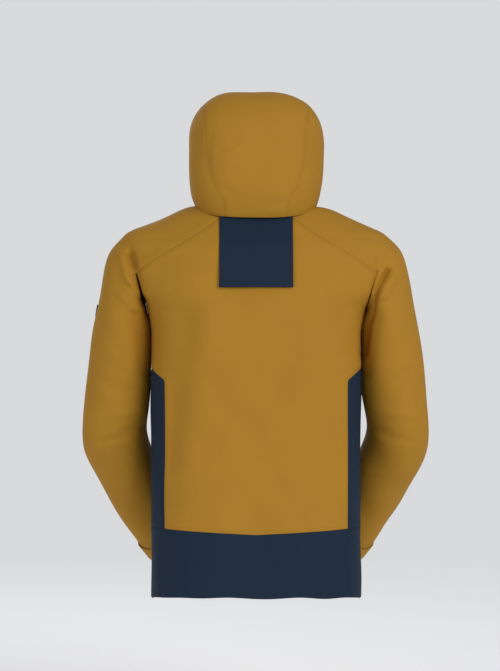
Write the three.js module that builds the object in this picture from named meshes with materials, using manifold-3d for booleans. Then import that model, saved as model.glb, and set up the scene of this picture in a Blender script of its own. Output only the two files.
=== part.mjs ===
// Hooded ski jacket, built from its sewn panels, layers, zips and tabs.
// Millimetres, +Z up, front faces -Y, the wearer's left is +X. The model is drawn with its hem at
// height 0, then lowered so that the centre of the neck seam, where the jacket hangs, is the origin.
import * as THREE from 'three';
import { mergeVertices } from 'three/addons/utils/BufferGeometryUtils.js';
import Module from 'manifold-3d';

const wasm = await Module();
wasm.setup();

// ---- driving dimensions -------------------------------------------------------------------------
const NECK_HEIGHT = 766;          // hem to neck seam
const SHOULDER_DROP = 60;         // neck seam down to the shoulder point
const ARMHOLE_RISE = 146;         // armpit up to the shoulder point
const HEM_HALF_WIDTH = 204;
const HEM_BACK_RISE = 12;          // how much higher the hem is at the back than at the sides
const HEM_BACK_DEPTH = 134;       // from the middle plane to the back, at the hem
const ZIP_FOOT_Y = -140;          // front centre line at the hem
const ZIP_LEAN = 0.055;           // how far the straight front line leans back for each mm of height
const ARMPIT_OUT = 8;             // armpit outside the hem's half width
const SHOULDER_OUT = 48;          // shoulder point outside the hem's half width
const NECK_HALF_WIDTH = 95;
const NECK_BACK_DEPTH = 66;
const FLAT_HALF_WIDTH = 30;       // flat middle of the front and of the back
const HEM_BAND_HEIGHT = 141;
const SIDE_PANEL_DROP = 112;      // armpit down to the top of the side panels
const SIDE_PANEL_WIDTH = 28;      // seen from behind
const SHELL = 2;                  // outer fabric with its tape
const WADDING = 5;
const LINING = 1.2;
const GAP = 0.4;                  // air between layers and at every seam
const COLLAR_HEIGHT = 48;
const COLLAR_TOP_HALF_WIDTH = 84;
const HOOD_HALF_WIDTH = 132;
const HOOD_DEPTH = 125;
const HOOD_MIDDLE_RISE = 104;     // neck seam up to the widest part of the hood
const HOOD_CROWN_RISE = 115;      // from there to the top
const HOOD_RIM_DROP = 28;         // neck seam down to the rim at the back
const HOOD_RIM_SLOPE = 0.32;      // rise of the rim towards the front
const HOOD_FACE_Y = -100;         // plane of the face opening
const HOOD_CENTRE_Y = -5;
const HOOD_REACH_BELOW = 190;     // how far under its widest ring the hood's curve would close
const HOOD_ROUNDNESS = 2.8;       // of its level rings (2 is an ellipse)
const HOOD_CROWN_ROUNDNESS = 2.75;
const HOOD_LOWER_ROUNDNESS = 2.5;
const HOOD_LINING = 3;
const BRIM_LENGTH = 22;
const SLEEVE_SHELL = 2;
const SLEEVE_LINING = 4.6;
const CUFF_LENGTH = 48;
const GAITER_THICK = 2;
const GAITER_LENGTH = 68;
const TAB_THICK = 2.4;
const FLAP_HALF_WIDTH = 69;
const FLAP_DROP = 33;             // neck seam down to the flap's sewn edge
const FLAP_HEIGHT = 132;
const FLAP_THICK = 2.4;
const FRONT_SLOT = 8;             // half the gap between the fronts, where the zip shows
const TEETH_HALF_WIDTH = 3;
const TAPE_HALF_WIDTH = 16;
const SLIDER_LENGTH = 16;
const SLIDER_HALF_WIDTH = 6;
const PULLER_LENGTH = 34;
const PULLER_THICK = 1.6;
const POCKET_SLIDER_LENGTH = 11;
const POCKET_PULLER_LENGTH = 28;
const POCKET_DROP = 160;          // armpit down to the top of the hand pockets
const POCKET_LENGTH = 160;
const INNER_POCKET_DROP = 10;     // armpit down to the top of the inner pockets
const INNER_POCKET_HEIGHT = 108;
const INNER_POCKET_THICK = 2;
const SKIRT_HEIGHT = 110;         // of the powder skirt
const WADDING_HEM = 20;           // hem up to the wadding's lower edge
const LINING_HEM = 12;
const CHIN_GUARD_LENGTH = 34;
const SIDE_FACETS = 10;           // along each side of a body ring
const SLEEVE_SIDES = 14;
const HOOD_SIDES = 22;

// ---- heights and widths that follow ------------------------------------------------------------
const SHOULDER_HEIGHT = NECK_HEIGHT - SHOULDER_DROP;
const ARMPIT_HEIGHT = SHOULDER_HEIGHT - ARMHOLE_RISE;
const ARMPIT_HALF_WIDTH = HEM_HALF_WIDTH + ARMPIT_OUT;
const SHOULDER_HALF_WIDTH = HEM_HALF_WIDTH + SHOULDER_OUT;
const SIDE_PANEL_TOP = ARMPIT_HEIGHT - SIDE_PANEL_DROP;
const SIDE_PANEL_EDGE = HEM_HALF_WIDTH - SIDE_PANEL_WIDTH;
const HOOD_MIDDLE = NECK_HEIGHT + HOOD_MIDDLE_RISE;
const HOOD_TOP = HOOD_MIDDLE + HOOD_CROWN_RISE;
const HOOD_RIM_BACK = NECK_HEIGHT - HOOD_RIM_DROP;
const FLAP_TOP = NECK_HEIGHT - FLAP_DROP;
const FLAP_BOTTOM = FLAP_TOP - FLAP_HEIGHT;
const POCKET_HIGH = ARMPIT_HEIGHT - POCKET_DROP;
const POCKET_LOW = POCKET_HIGH - POCKET_LENGTH;
const COLLAR_TOP = NECK_HEIGHT + COLLAR_HEIGHT;
const COLLAR_THICK = WADDING;     // the collar's fleece carries on where the wadding ends

// ---- solids -------------------------------------------------------------------------------------
function toSolid(vertices, triangles) {
  let volume = 0;
  for (const [a, b, c] of triangles) {
    volume += vertices[a].dot(new THREE.Vector3().crossVectors(vertices[b], vertices[c]));
  }
  const flat = volume < 0 ? triangles.map(([a, b, c]) => [a, c, b]).flat() : triangles.flat();
  const points = vertices.flatMap((v) => [v.x, v.y, v.z]);
  const mesh = new wasm.Mesh({
    numProp: 3,
    vertProperties: new Float32Array(points),
    triVerts: new Uint32Array(flat),
  });
  mesh.merge();
  return new wasm.Manifold(mesh);
}

function geometryToSolid(geometry) {
  geometry.deleteAttribute('normal');
  geometry.deleteAttribute('uv');
  const merged = mergeVertices(geometry, 1e-4);
  return new wasm.Manifold(new wasm.Mesh({
    numProp: 3,
    vertProperties: new Float32Array(merged.attributes.position.array),
    triVerts: new Uint32Array(merged.index.array),
  }));
}

function solidToGeometry(solid) {
  const mesh = solid.getMesh();
  const geometry = new THREE.BufferGeometry();
  const points = [];
  for (let i = 0; i < mesh.numVert; i += 1) {
    points.push(...mesh.vertProperties.slice(i * mesh.numProp, i * mesh.numProp + 3));
  }
  geometry.setAttribute('position', new THREE.BufferAttribute(new Float32Array(points), 3));
  geometry.setIndex(new THREE.BufferAttribute(new Uint32Array(mesh.triVerts), 1));
  geometry.computeVertexNormals();
  return geometry;
}

function box(low, high) {
  const size = high.map((v, i) => v - low[i]);
  const geometry = new THREE.BoxGeometry(...size);
  geometry.translate(...low.map((v, i) => v + size[i] / 2));
  return geometryToSolid(geometry);
}

// Everything on the far side of a plane, as a large block. The normal points into the block.
function halfSpace(point, normal, reach = 1500) {
  const geometry = new THREE.BoxGeometry(reach, reach, reach);
  geometry.translate(0, 0, reach / 2);
  const up = new THREE.Vector3(0, 0, 1);
  const turn = new THREE.Quaternion().setFromUnitVectors(up, normal.clone().normalize());
  geometry.applyQuaternion(turn);
  geometry.translate(point.x, point.y, point.z);
  return geometryToSolid(geometry);
}

// A grid of points is rows[j][i]. Its normals come from the neighbours on both sides.
function gridNormals(rows, wrap) {
  const count = rows[0].length;
  return rows.map((row, j) => row.map((_, i) => {
    const before = wrap ? (i + count - 1) % count : Math.max(i - 1, 0);
    const after = wrap ? (i + 1) % count : Math.min(i + 1, count - 1);
    const along = new THREE.Vector3().subVectors(row[after], row[before]);
    const low = rows[Math.max(j - 1, 0)][i];
    const high = rows[Math.min(j + 1, rows.length - 1)][i];
    const up = new THREE.Vector3().subVectors(high, low);
    return along.cross(up).normalize();
  }));
}

function lifted(rows, normals, lift) {
  return rows.map((row, j) => row.map((p, i) => p.clone().addScaledVector(normals[j][i], lift)));
}

// A sheet between two grids of the same size, closed at its ends and, unless it wraps, its sides.
function sheetSolid(outer, inner, wrap) {
  const rows = outer.length;
  const count = outer[0].length;
  const vertices = [...outer.flat(), ...inner.flat()];
  const at = (layer, j, i) => layer * rows * count + j * count + (i % count);
  const triangles = [];
  const quad = (a, b, c, d) => triangles.push([a, b, c], [a, c, d]);
  const last = wrap ? count : count - 1;
  for (let j = 0; j < rows - 1; j += 1) {
    for (let i = 0; i < last; i += 1) {
      quad(at(0, j, i), at(0, j, i + 1), at(0, j + 1, i + 1), at(0, j + 1, i));
      quad(at(1, j, i), at(1, j + 1, i), at(1, j + 1, i + 1), at(1, j, i + 1));
    }
  }
  for (let i = 0; i < last; i += 1) {
    quad(at(1, 0, i), at(1, 0, i + 1), at(0, 0, i + 1), at(0, 0, i));
    quad(at(0, rows - 1, i), at(0, rows - 1, i + 1), at(1, rows - 1, i + 1), at(1, rows - 1, i));
  }
  if (!wrap) {
    for (let j = 0; j < rows - 1; j += 1) {
      quad(at(0, j, 0), at(0, j + 1, 0), at(1, j + 1, 0), at(1, j, 0));
      quad(at(1, j, last), at(1, j + 1, last), at(0, j + 1, last), at(0, j, last));
    }
  }
  return toSolid(vertices, triangles);
}

function layer(grid, from, to, wrap = true) {
  return sheetSolid(lifted(grid.rows, grid.normals, to), lifted(grid.rows, grid.normals, from), wrap);
}

// A patch of a grid between fractional column and row numbers, between two lifts off its surface.
function patch(grid, columns, rowsRange, from, to) {
  const stops = ([low, high]) => {
    const list = [low];
    for (let k = Math.floor(low) + 1; k < high - 1e-6; k += 1) list.push(k);
    list.push(high);
    return list;
  };
  const sample = (list, i, j) => {
    const width = list[0].length;
    const i0 = Math.floor(i + 1e-9);
    const j0 = Math.min(Math.floor(j + 1e-9), list.length - 2);
    const s = i - i0;
    const t = j - j0;
    const at = (a, b) => list[b][((a % width) + width) % width];
    const low = at(i0, j0).clone().lerp(at(i0 + 1, j0), s);
    const high = at(i0, j0 + 1).clone().lerp(at(i0 + 1, j0 + 1), s);
    return low.lerp(high, t);
  };
  const sampled = (list) => stops(rowsRange).map((j) => stops(columns).map((i) => sample(list, i, j)));
  const points = sampled(grid.rows);
  const normals = sampled(grid.normals).map((row) => row.map((n) => n.normalize()));
  return sheetSolid(lifted(points, normals, to), lifted(points, normals, from), false);
}

// A thin wall along a line in the XZ plane, running through Y from one depth to another.
function seamWall(points, depths, width = GAP) {
  const line = points.map(([x, z]) => new THREE.Vector2(x, z));
  const side = (sign) => line.map((p, i) => {
    const before = line[Math.max(i - 1, 0)];
    const after = line[Math.min(i + 1, line.length - 1)];
    const way = after.clone().sub(before).normalize();
    return new THREE.Vector2(p.x - sign * way.y * width / 2, p.y + sign * way.x * width / 2);
  });
  const shape = new THREE.Shape([...side(1), ...side(-1).reverse()]);
  const depth = depths[1] - depths[0];
  const geometry = new THREE.ExtrudeGeometry(shape, { depth, bevelEnabled: false });
  geometry.rotateX(Math.PI / 2);
  geometry.translate(0, depths[1], 0);
  return geometryToSolid(geometry);
}

const mirrored = (points) => points.map(([x, z]) => [-x, z]);

// ---- body surface -------------------------------------------------------------------------------
const zipY = (z) => ZIP_FOOT_Y + ZIP_LEAN * z;
const shoulderRise = SHOULDER_HEIGHT - ARMPIT_HEIGHT;
const armpitToShoulder = (share) => ARMPIT_HEIGHT + share * shoulderRise;
const shoulderToNeck = (share) => SHOULDER_HEIGHT + share * (NECK_HEIGHT - SHOULDER_HEIGHT);
const neckward = (share) => SHOULDER_HALF_WIDTH + share * (NECK_HALF_WIDTH - SHOULDER_HALF_WIDTH);

// Each station: height, half width, depth of the back, roundness of the ring (2 is an ellipse).
const BODY_STATIONS = [
  [0, HEM_HALF_WIDTH, HEM_BACK_DEPTH, 2.5],
  [HEM_BAND_HEIGHT, HEM_HALF_WIDTH, HEM_BACK_DEPTH, 2.5],
  [POCKET_LOW - 20, HEM_HALF_WIDTH, HEM_BACK_DEPTH + 1, 2.5],
  [(POCKET_LOW + POCKET_HIGH) / 2, HEM_HALF_WIDTH, HEM_BACK_DEPTH + 3, 2.5],
  [POCKET_HIGH + 20, HEM_HALF_WIDTH, HEM_BACK_DEPTH + 6, 2.5],
  [ARMPIT_HEIGHT - 50, HEM_HALF_WIDTH, HEM_BACK_DEPTH + 9, 2.5],
  [ARMPIT_HEIGHT, ARMPIT_HALF_WIDTH, HEM_BACK_DEPTH + 9, 2.4],
  [armpitToShoulder(0.25), ARMPIT_HALF_WIDTH + 30, HEM_BACK_DEPTH + 5, 2.3],
  [armpitToShoulder(0.55), ARMPIT_HALF_WIDTH + 50, HEM_BACK_DEPTH - 5, 2.2],
  [armpitToShoulder(0.84), SHOULDER_HALF_WIDTH + 14, HEM_BACK_DEPTH - 18, 2.1],
  [SHOULDER_HEIGHT, SHOULDER_HALF_WIDTH + 3, HEM_BACK_DEPTH - 31, 2],
  [shoulderToNeck(0.28), neckward(0.22), HEM_BACK_DEPTH - 41, 2],
  [shoulderToNeck(0.62), neckward(0.506), HEM_BACK_DEPTH - 54, 2],
  [shoulderToNeck(0.87), neckward(0.739), NECK_BACK_DEPTH + 5, 2],
  [NECK_HEIGHT, NECK_HALF_WIDTH, NECK_BACK_DEPTH, 2],
];

const power = (value, exponent) => Math.sign(value) * Math.abs(value) ** exponent;

// A level ring: a flat middle at the front and the back, joined by rounded sides.
function bodyRing([z, halfWidth, back, roundness]) {
  const half = [];
  for (let i = 0; i <= SIDE_FACETS; i += 1) {
    const angle = -Math.PI / 2 + Math.PI * i / SIDE_FACETS;
    const depth = angle > 0 ? back : -zipY(z);
    const x = FLAT_HALF_WIDTH + (halfWidth - FLAT_HALF_WIDTH) * power(Math.cos(angle), 2 / roundness);
    half.push([x, depth * power(Math.sin(angle), 2 / roundness)]);
  }
  const right = half.map(([x, y]) => new THREE.Vector3(x, y, z));
  const left = half.map(([x, y]) => new THREE.Vector3(-x, y, z)).reverse();
  return [...right, ...left];
}

function makeGrid(rows, wrap = true) {
  return { rows, normals: gridNormals(rows, wrap) };
}

const body = makeGrid(BODY_STATIONS.map(bodyRing));
const ringCount = body.rows[0].length;
const rowAt = (z) => {
  const heights = BODY_STATIONS.map((s) => s[0]);
  const j = Math.max(heights.findIndex((h) => h > z) - 1, 0);
  return j + (z - heights[j]) / (heights[j + 1] - heights[j]);
};

// ---- armholes -----------------------------------------------------------------------------------
// The seam plane of each armhole runs from the armpit to the shoulder point and along Y.
const armholeUp = new THREE.Vector3(SHOULDER_HALF_WIDTH - ARMPIT_HALF_WIDTH, 0, shoulderRise).normalize();
const armholeOut = new THREE.Vector3(armholeUp.z, 0, -armholeUp.x);
const flipX = (v) => new THREE.Vector3(-v.x, v.y, v.z);
const sideOf = (v, side) => (side > 0 ? v.clone() : flipX(v));

function armholePoint(side, lift) {
  const point = new THREE.Vector3(ARMPIT_HALF_WIDTH, 0, ARMPIT_HEIGHT).addScaledVector(armholeOut, lift);
  return sideOf(point, side);
}

function outsideArmhole(side, lift = 0) {
  return halfSpace(armholePoint(side, lift), sideOf(armholeOut, side));
}

function insideArmhole(side, lift = 0) {
  return halfSpace(armholePoint(side, lift), sideOf(armholeOut, side).negate());
}

// The body is open beyond the seam plane, from the armpit up.
function cutArmholes(solid) {
  const above = box([-600, -600, ARMPIT_HEIGHT], [600, 600, NECK_HEIGHT + 100]);
  let cut = solid;
  for (const side of [1, -1]) cut = cut.subtract(outsideArmhole(side).intersect(above));
  return cut;
}

// The hem climbs towards the back; a layer may stop some way above the outer edge.
function cutHem(solid, above) {
  const down = new THREE.Vector3(0, HEM_BACK_RISE / HEM_BACK_DEPTH, -1);
  const cut = solid.subtract(halfSpace(new THREE.Vector3(0, 0, above), down));
  return above > 0 ? cut.subtract(box([-FAR, -FAR, -50], [FAR, FAR, above])) : cut;
}

// ---- outer panels of the body: seam lines as [x, height] points ---------------------------------
const FAR = 400;
const HEM_SEAM_DIP = 9;
const hemLine = [
  [-FAR, HEM_BAND_HEIGHT],
  [-SIDE_PANEL_EDGE, HEM_BAND_HEIGHT],
  [0, HEM_BAND_HEIGHT - HEM_SEAM_DIP],
  [SIDE_PANEL_EDGE, HEM_BAND_HEIGHT],
  [FAR, HEM_BAND_HEIGHT],
];
const sideLine = [
  [SIDE_PANEL_EDGE + 5, HEM_BAND_HEIGHT - 2],
  [SIDE_PANEL_EDGE, POCKET_LOW + 60],
  [SIDE_PANEL_EDGE, SIDE_PANEL_TOP - 23],
  [HEM_HALF_WIDTH, SIDE_PANEL_TOP],
  [FAR, SIDE_PANEL_TOP + 150],
];
const raglanBack = [
  [46, NECK_HEIGHT + 60],
  [60, NECK_HEIGHT - 18],
  [88, NECK_HEIGHT - 42],
  [138, SHOULDER_HEIGHT - 15],
  [187, SHOULDER_HEIGHT - 44],
  [236, SHOULDER_HEIGHT - 78],
  [300, SHOULDER_HEIGHT - 122],
];
const raglanFront = [
  [50, NECK_HEIGHT + 60],
  [64, NECK_HEIGHT - 22],
  [110, SHOULDER_HEIGHT - 8],
  [160, SHOULDER_HEIGHT - 56],
  [ARMPIT_HALF_WIDTH + 2, ARMPIT_HEIGHT + 14],
  [300, ARMPIT_HEIGHT - 72],
];

function bodyShell() {
  let shell = cutHem(cutArmholes(layer(body, -SHELL, 0)), 0);
  const backDepths = [0, FAR];
  const frontDepths = [-FAR, 0];
  const walls = [seamWall(hemLine, [-FAR, FAR])];
  for (const turn of [(p) => p, mirrored]) {
    walls.push(seamWall(turn(sideLine), [-FAR, FAR]));
    walls.push(seamWall(turn(raglanBack), backDepths));
    walls.push(seamWall(turn(raglanFront), frontDepths));
  }
  for (const side of [1, -1]) {
    const edge = side * SIDE_PANEL_EDGE;
    const far = side * FAR;
    const [low, high] = [Math.min(edge, far), Math.max(edge, far)];
    walls.push(box([low, -GAP / 2, -10], [high, GAP / 2, HEM_BAND_HEIGHT]));
    walls.push(box([low, -GAP / 2, SIDE_PANEL_TOP - 8], [high, GAP / 2, ARMPIT_HEIGHT + 20]));
  }
  walls.push(box([-FRONT_SLOT, -FAR, -10], [FRONT_SLOT, 0, NECK_HEIGHT + 10]));
  for (const wall of walls) shell = shell.subtract(wall);
  return shell.decompose();
}

// The piece of a cut shell that reaches the small block around a point.
function pieceAt(pieces, [x, y, z], reach = 6) {
  const probe = box([x - reach, y - reach, z - reach], [x + reach, y + reach, z + reach]);
  const found = pieces.filter((piece) => piece.intersect(probe).volume() > 0.5);
  if (found.length !== 1) throw new Error(`${found.length} pieces at ${[x, y, z]}`);
  return found[0];
}

// ---- materials ----------------------------------------------------------------------------------
const cloth = (color, roughness = 0.85) => new THREE.MeshStandardMaterial({ color, roughness, metalness: 0 });
const MUSTARD = cloth(0xa67b2d);
const NAVY = cloth(0x1f2d3e);
const WAD = cloth(0xe8e6df, 0.95);
const LINING_CLOTH = cloth(0x2b3542, 0.7);
const TAPE_CLOTH = cloth(0x1a2230, 0.8);
const PLASTIC = new THREE.MeshStandardMaterial({ color: 0x20242b, roughness: 0.45, metalness: 0 });
const METAL = new THREE.MeshStandardMaterial({ color: 0x55585c, roughness: 0.35, metalness: 1 });
const FLEECE = cloth(0x39414d, 0.98);

const jacket = new THREE.Group();
jacket.name = 'ski_jacket';
jacket.position.z = -NECK_HEIGHT;

function add(name, solid, material) {
  const mesh = new THREE.Mesh(solidToGeometry(solid), material);
  mesh.name = name;
  jacket.add(mesh);
}

const SIDES = [['left', 1], ['right', -1]];

function addBodyPanels() {
  const pieces = bodyShell();
  const [height, , depth] = BODY_STATIONS[4];
  add('back_panel', pieceAt(pieces, [0, depth - 1, height]), MUSTARD);
  add('hem_band_back', pieceAt(pieces, [0, HEM_BACK_DEPTH - 1, HEM_BAND_HEIGHT / 2]), NAVY);
  for (const [name, side] of SIDES) {
    const nearZip = side * (FLAT_HALF_WIDTH - 10);
    add(`front_panel_${name}`, pieceAt(pieces, [nearZip, zipY(POCKET_HIGH) + 1, POCKET_HIGH]), MUSTARD);
    add(`hem_band_front_${name}`, pieceAt(pieces, [nearZip, zipY(6) + 1, 6]), NAVY);
    const flank = [side * (HEM_HALF_WIDTH - 1), 0, (POCKET_LOW + POCKET_HIGH) / 2];
    add(`side_panel_${name}`, pieceAt(pieces, flank), NAVY);
    const [ridgeHeight, ridgeOut] = BODY_STATIONS[BODY_STATIONS.length - 3];
    const ridge = [side * (ridgeOut - 1), 0, ridgeHeight];
    add(`raglan_shoulder_${name}`, pieceAt(pieces, ridge), MUSTARD);
  }
}

// ---- wadding, lining and what is sewn inside ----------------------------------------------------
const WADDING_OUT = -SHELL - GAP;
const WADDING_IN = WADDING_OUT - WADDING;
const LINING_OUT = WADDING_IN - GAP;
const LINING_IN = LINING_OUT - LINING;
const INNER_SLOT = TAPE_HALF_WIDTH + 4;

function innerLayer(from, to, aboveHem) {
  const slot = box([-INNER_SLOT, -FAR, -10], [INNER_SLOT, 0, NECK_HEIGHT + 10]);
  return cutHem(cutArmholes(layer(body, from, to)).subtract(slot), aboveHem);
}

function addInside() {
  add('body_wadding', innerLayer(WADDING_IN, WADDING_OUT, WADDING_HEM), WAD);
  add('body_lining', innerLayer(LINING_IN, LINING_OUT, LINING_HEM), LINING_CLOTH);
  const inside = LINING_IN - GAP;
  const inner = (columns, low, high, thick) =>
    patch(body, columns, [rowAt(low), rowAt(high)], inside - thick, inside);
  const skirtLow = POCKET_LOW - 70;
  add('powder_skirt', inner([1, ringCount - 2], skirtLow, skirtLow + SKIRT_HEIGHT, 1), TAPE_CLOTH);
  const mirroredColumns = ([low, high]) => [ringCount - 1 - high, ringCount - 1 - low];
  for (const [name, side] of SIDES) {
    const columns = (range) => (side > 0 ? range : mirroredColumns(range));
    const bag = inner(columns([0.5, 2.8]), POCKET_LOW + 46, POCKET_HIGH + 30, INNER_POCKET_THICK);
    add(`hand_pocket_bag_${name}`, bag, FLEECE);
    const top = ARMPIT_HEIGHT - INNER_POCKET_DROP;
    const pocket = inner(columns([0.6, 2.4]), top - INNER_POCKET_HEIGHT, top, INNER_POCKET_THICK);
    add(`inner_pocket_${name}`, pocket, FLEECE);
  }
  const loopHigh = NECK_HEIGHT - 14;
  const loop = inner([SIDE_FACETS - 0.2, SIDE_FACETS + 1.2], loopHigh - 8, loopHigh, 4);
  add('hang_loop', loop, TAPE_CLOTH);
}

// ---- straight parts on the front centre line ----------------------------------------------------
const zipUp = new THREE.Vector3(0, ZIP_LEAN, 1).normalize();
const zipOut = new THREE.Vector3(0, -zipUp.z, zipUp.y);

// A bar on the flat front: across x, between two heights, between two lifts off the front.
function frontBar(x0, x1, z0, z1, lift0, lift1) {
  const geometry = new THREE.BoxGeometry(x1 - x0, lift1 - lift0, (z1 - z0) / zipUp.z);
  geometry.translate((x0 + x1) / 2, 0, 0);
  geometry.rotateX(-Math.atan2(zipUp.y, zipUp.z));
  const middle = (z0 + z1) / 2;
  geometry.translate(0, zipY(middle), middle);
  const lift = (lift0 + lift1) / 2;
  geometry.translate(0, zipOut.y * lift, zipOut.z * lift);
  return geometryToSolid(geometry);
}

const ZIP_LOW = 6;
const ZIP_HIGH = COLLAR_TOP - 8;
const TAPE_LIFTS = [-SHELL - GAP - 1, -SHELL - GAP];
const TEETH_LIFTS = [-SHELL - GAP - 1.2, -0.8];
const SLIDER_LIFTS = [TEETH_LIFTS[1] + GAP, 3.4];
const PULLER_LIFTS = [SLIDER_LIFTS[1] + GAP, SLIDER_LIFTS[1] + GAP + PULLER_THICK];

function addMainZip() {
  for (const [name, side] of SIDES) {
    const bar = (inner, outer, ...rest) => {
      const [x0, x1] = side > 0 ? [inner, outer] : [-outer, -inner];
      return frontBar(x0, x1, ...rest);
    };
    const tape = bar(TEETH_HALF_WIDTH + 0.3, TAPE_HALF_WIDTH, ZIP_LOW, ZIP_HIGH, ...TAPE_LIFTS);
    add(`main_zip_tape_${name}`, tape, TAPE_CLOTH);
    const teeth = bar(GAP / 2, TEETH_HALF_WIDTH, ZIP_LOW + 12, ZIP_HIGH, ...TEETH_LIFTS);
    add(`main_zip_teeth_${name}`, teeth, PLASTIC);
  }
  const middleBar = (halfWidth, low, high, lifts) =>
    frontBar(-halfWidth, halfWidth, low, high, ...lifts);
  const footLifts = [TEETH_LIFTS[1] - 1.2, TEETH_LIFTS[1] + 1.2];
  add('main_zip_bottom_box', middleBar(4.5, ZIP_LOW - 2, ZIP_LOW + 11.6, footLifts), METAL);
  const stormLifts = [TAPE_LIFTS[0] - GAP - 2, TAPE_LIFTS[0] - GAP];
  const stormHalf = INNER_SLOT - 2;
  add('inner_storm_flap', middleBar(stormHalf, ZIP_LOW, NECK_HEIGHT - 4, stormLifts), NAVY);
  const sliderTop = ZIP_HIGH - 4;
  const slider = middleBar(SLIDER_HALF_WIDTH, sliderTop - SLIDER_LENGTH, sliderTop, SLIDER_LIFTS);
  add('main_zip_slider', slider, METAL);
  const pullTop = sliderTop - SLIDER_LENGTH / 2;
  add('main_zip_puller', middleBar(4, pullTop - PULLER_LENGTH, pullTop, PULLER_LIFTS), PLASTIC);
  add('chin_guard', middleBar(stormHalf, ZIP_HIGH - CHIN_GUARD_LENGTH, ZIP_HIGH, stormLifts), FLEECE);
}

// ---- pocket zips: a welt with its teeth, a slider and a puller, on a straight stretch of front --
function addPocketZip(name, column, z0, z1, halfSpan) {
  const strip = (share, low, high, from, to) => {
    const range = [column - halfSpan * share, column + halfSpan * share];
    return patch(body, range, [rowAt(low), rowAt(high)], from, to);
  };
  const weltOut = GAP + 1;
  const sliderOut = weltOut + GAP + 2.4;
  const top = z1 - 6;
  const pullTop = top - 6;
  const slider = strip(0.45, top - POCKET_SLIDER_LENGTH, top, weltOut + GAP, sliderOut);
  const pullLifts = [sliderOut + GAP, sliderOut + GAP + PULLER_THICK];
  add(`${name}_welt`, strip(1, z0, z1, GAP, weltOut), TAPE_CLOTH);
  add(`${name}_slider`, slider, METAL);
  add(`${name}_puller`, strip(0.3, pullTop - POCKET_PULLER_LENGTH, pullTop, ...pullLifts), PLASTIC);
}

function addPocketZips() {
  for (const [name, side] of SIDES) {
    const column = side > 0 ? 1.5 : ringCount - 2.5;
    addPocketZip(`hand_pocket_${name}`, column, POCKET_LOW, POCKET_HIGH, 0.16);
  }
}

// ---- collar -------------------------------------------------------------------------------------
const collarRing = ([share]) => bodyRing([
  NECK_HEIGHT + GAP + share * COLLAR_HEIGHT,
  NECK_HALF_WIDTH + share * (COLLAR_TOP_HALF_WIDTH - NECK_HALF_WIDTH),
  NECK_BACK_DEPTH - share * 4,
  2,
]);
const collar = makeGrid([[0], [0.5], [1]].map(collarRing));

function addCollar() {
  const slot = box([-FRONT_SLOT, -FAR, 0], [FRONT_SLOT, 0, COLLAR_TOP + 50]);
  const innerSlot = box([-INNER_SLOT, -FAR, 0], [INNER_SLOT, 0, COLLAR_TOP + 50]);
  const outer = layer(collar, -SHELL, 0).subtract(slot);
  add('collar_outer', outer, MUSTARD);
  const inner = layer(collar, -SHELL - GAP - COLLAR_THICK, -SHELL - GAP).subtract(innerSlot);
  add('collar_fleece', inner, FLEECE);
}

// ---- back flap ----------------------------------------------------------------------------------
// The columns of the body's grid that the flap's side edges fall on.
function flapColumns() {
  const out = body.rows[Math.round(rowAt(FLAP_BOTTOM))].map((p) => p.x);
  let column = SIDE_FACETS;
  while (out[column - 1] < FLAP_HALF_WIDTH) column -= 1;
  const span = SIDE_FACETS - column + (FLAP_HALF_WIDTH - out[column]) / (out[column - 1] - out[column]);
  return [SIDE_FACETS - span, SIDE_FACETS + 1 + span];
}

function addBackFlap() {
  const rows = [rowAt(FLAP_BOTTOM), rowAt(FLAP_TOP)];
  add('back_flap', patch(body, flapColumns(), rows, GAP, GAP + FLAP_THICK), NAVY);
}

// ---- hood ---------------------------------------------------------------------------------------
// Share of the hood's full width at a height counted from its widest ring.
const hoodFullness = (height) => {
  const up = height > 0;
  const reach = up ? HOOD_CROWN_RISE : HOOD_REACH_BELOW;
  const roundness = up ? HOOD_CROWN_ROUNDNESS : HOOD_LOWER_ROUNDNESS;
  return Math.max(1 - (Math.abs(height) / reach) ** roundness, 0) ** (1 / roundness);
};

function hoodSurface(shrink) {
  const crown = [0.4, 0.7, 0.88, 0.98].map((share) => share * HOOD_CROWN_RISE);
  const rows = [-145, -100, -50, 0, ...crown].map((height) => {
    const fullness = hoodFullness(height);
    const halfWidth = HOOD_HALF_WIDTH * fullness - shrink;
    const halfDepth = HOOD_DEPTH * fullness - shrink;
    const z = HOOD_MIDDLE + height - shrink * Math.max(height, 0) / HOOD_CROWN_RISE;
    const row = [];
    for (let i = 0; i < HOOD_SIDES; i += 1) {
      const angle = 2 * Math.PI * (i + 0.5) / HOOD_SIDES;
      const x = halfWidth * power(Math.cos(angle), 2 / HOOD_ROUNDNESS);
      const y = HOOD_CENTRE_Y + halfDepth * power(Math.sin(angle), 2 / HOOD_ROUNDNESS);
      row.push(new THREE.Vector3(x, y, z));
    }
    return row;
  });
  const vertices = rows.flat();
  const foot = vertices.push(new THREE.Vector3(0, HOOD_CENTRE_Y, rows[0][0].z)) - 1;
  const tip = vertices.push(new THREE.Vector3(0, HOOD_CENTRE_Y, HOOD_TOP - shrink)) - 1;
  const triangles = [];
  const last = rows.length - 1;
  const at = (j, i) => j * HOOD_SIDES + (i % HOOD_SIDES);
  for (let i = 0; i < HOOD_SIDES; i += 1) {
    for (let j = 0; j < last; j += 1) {
      triangles.push([at(j, i), at(j, i + 1), at(j + 1, i + 1)]);
      triangles.push([at(j, i), at(j + 1, i + 1), at(j + 1, i)]);
    }
    triangles.push([foot, at(0, i + 1), at(0, i)]);
    triangles.push([tip, at(last, i), at(last, i + 1)]);
  }
  return toSolid(vertices, triangles);
}

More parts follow.
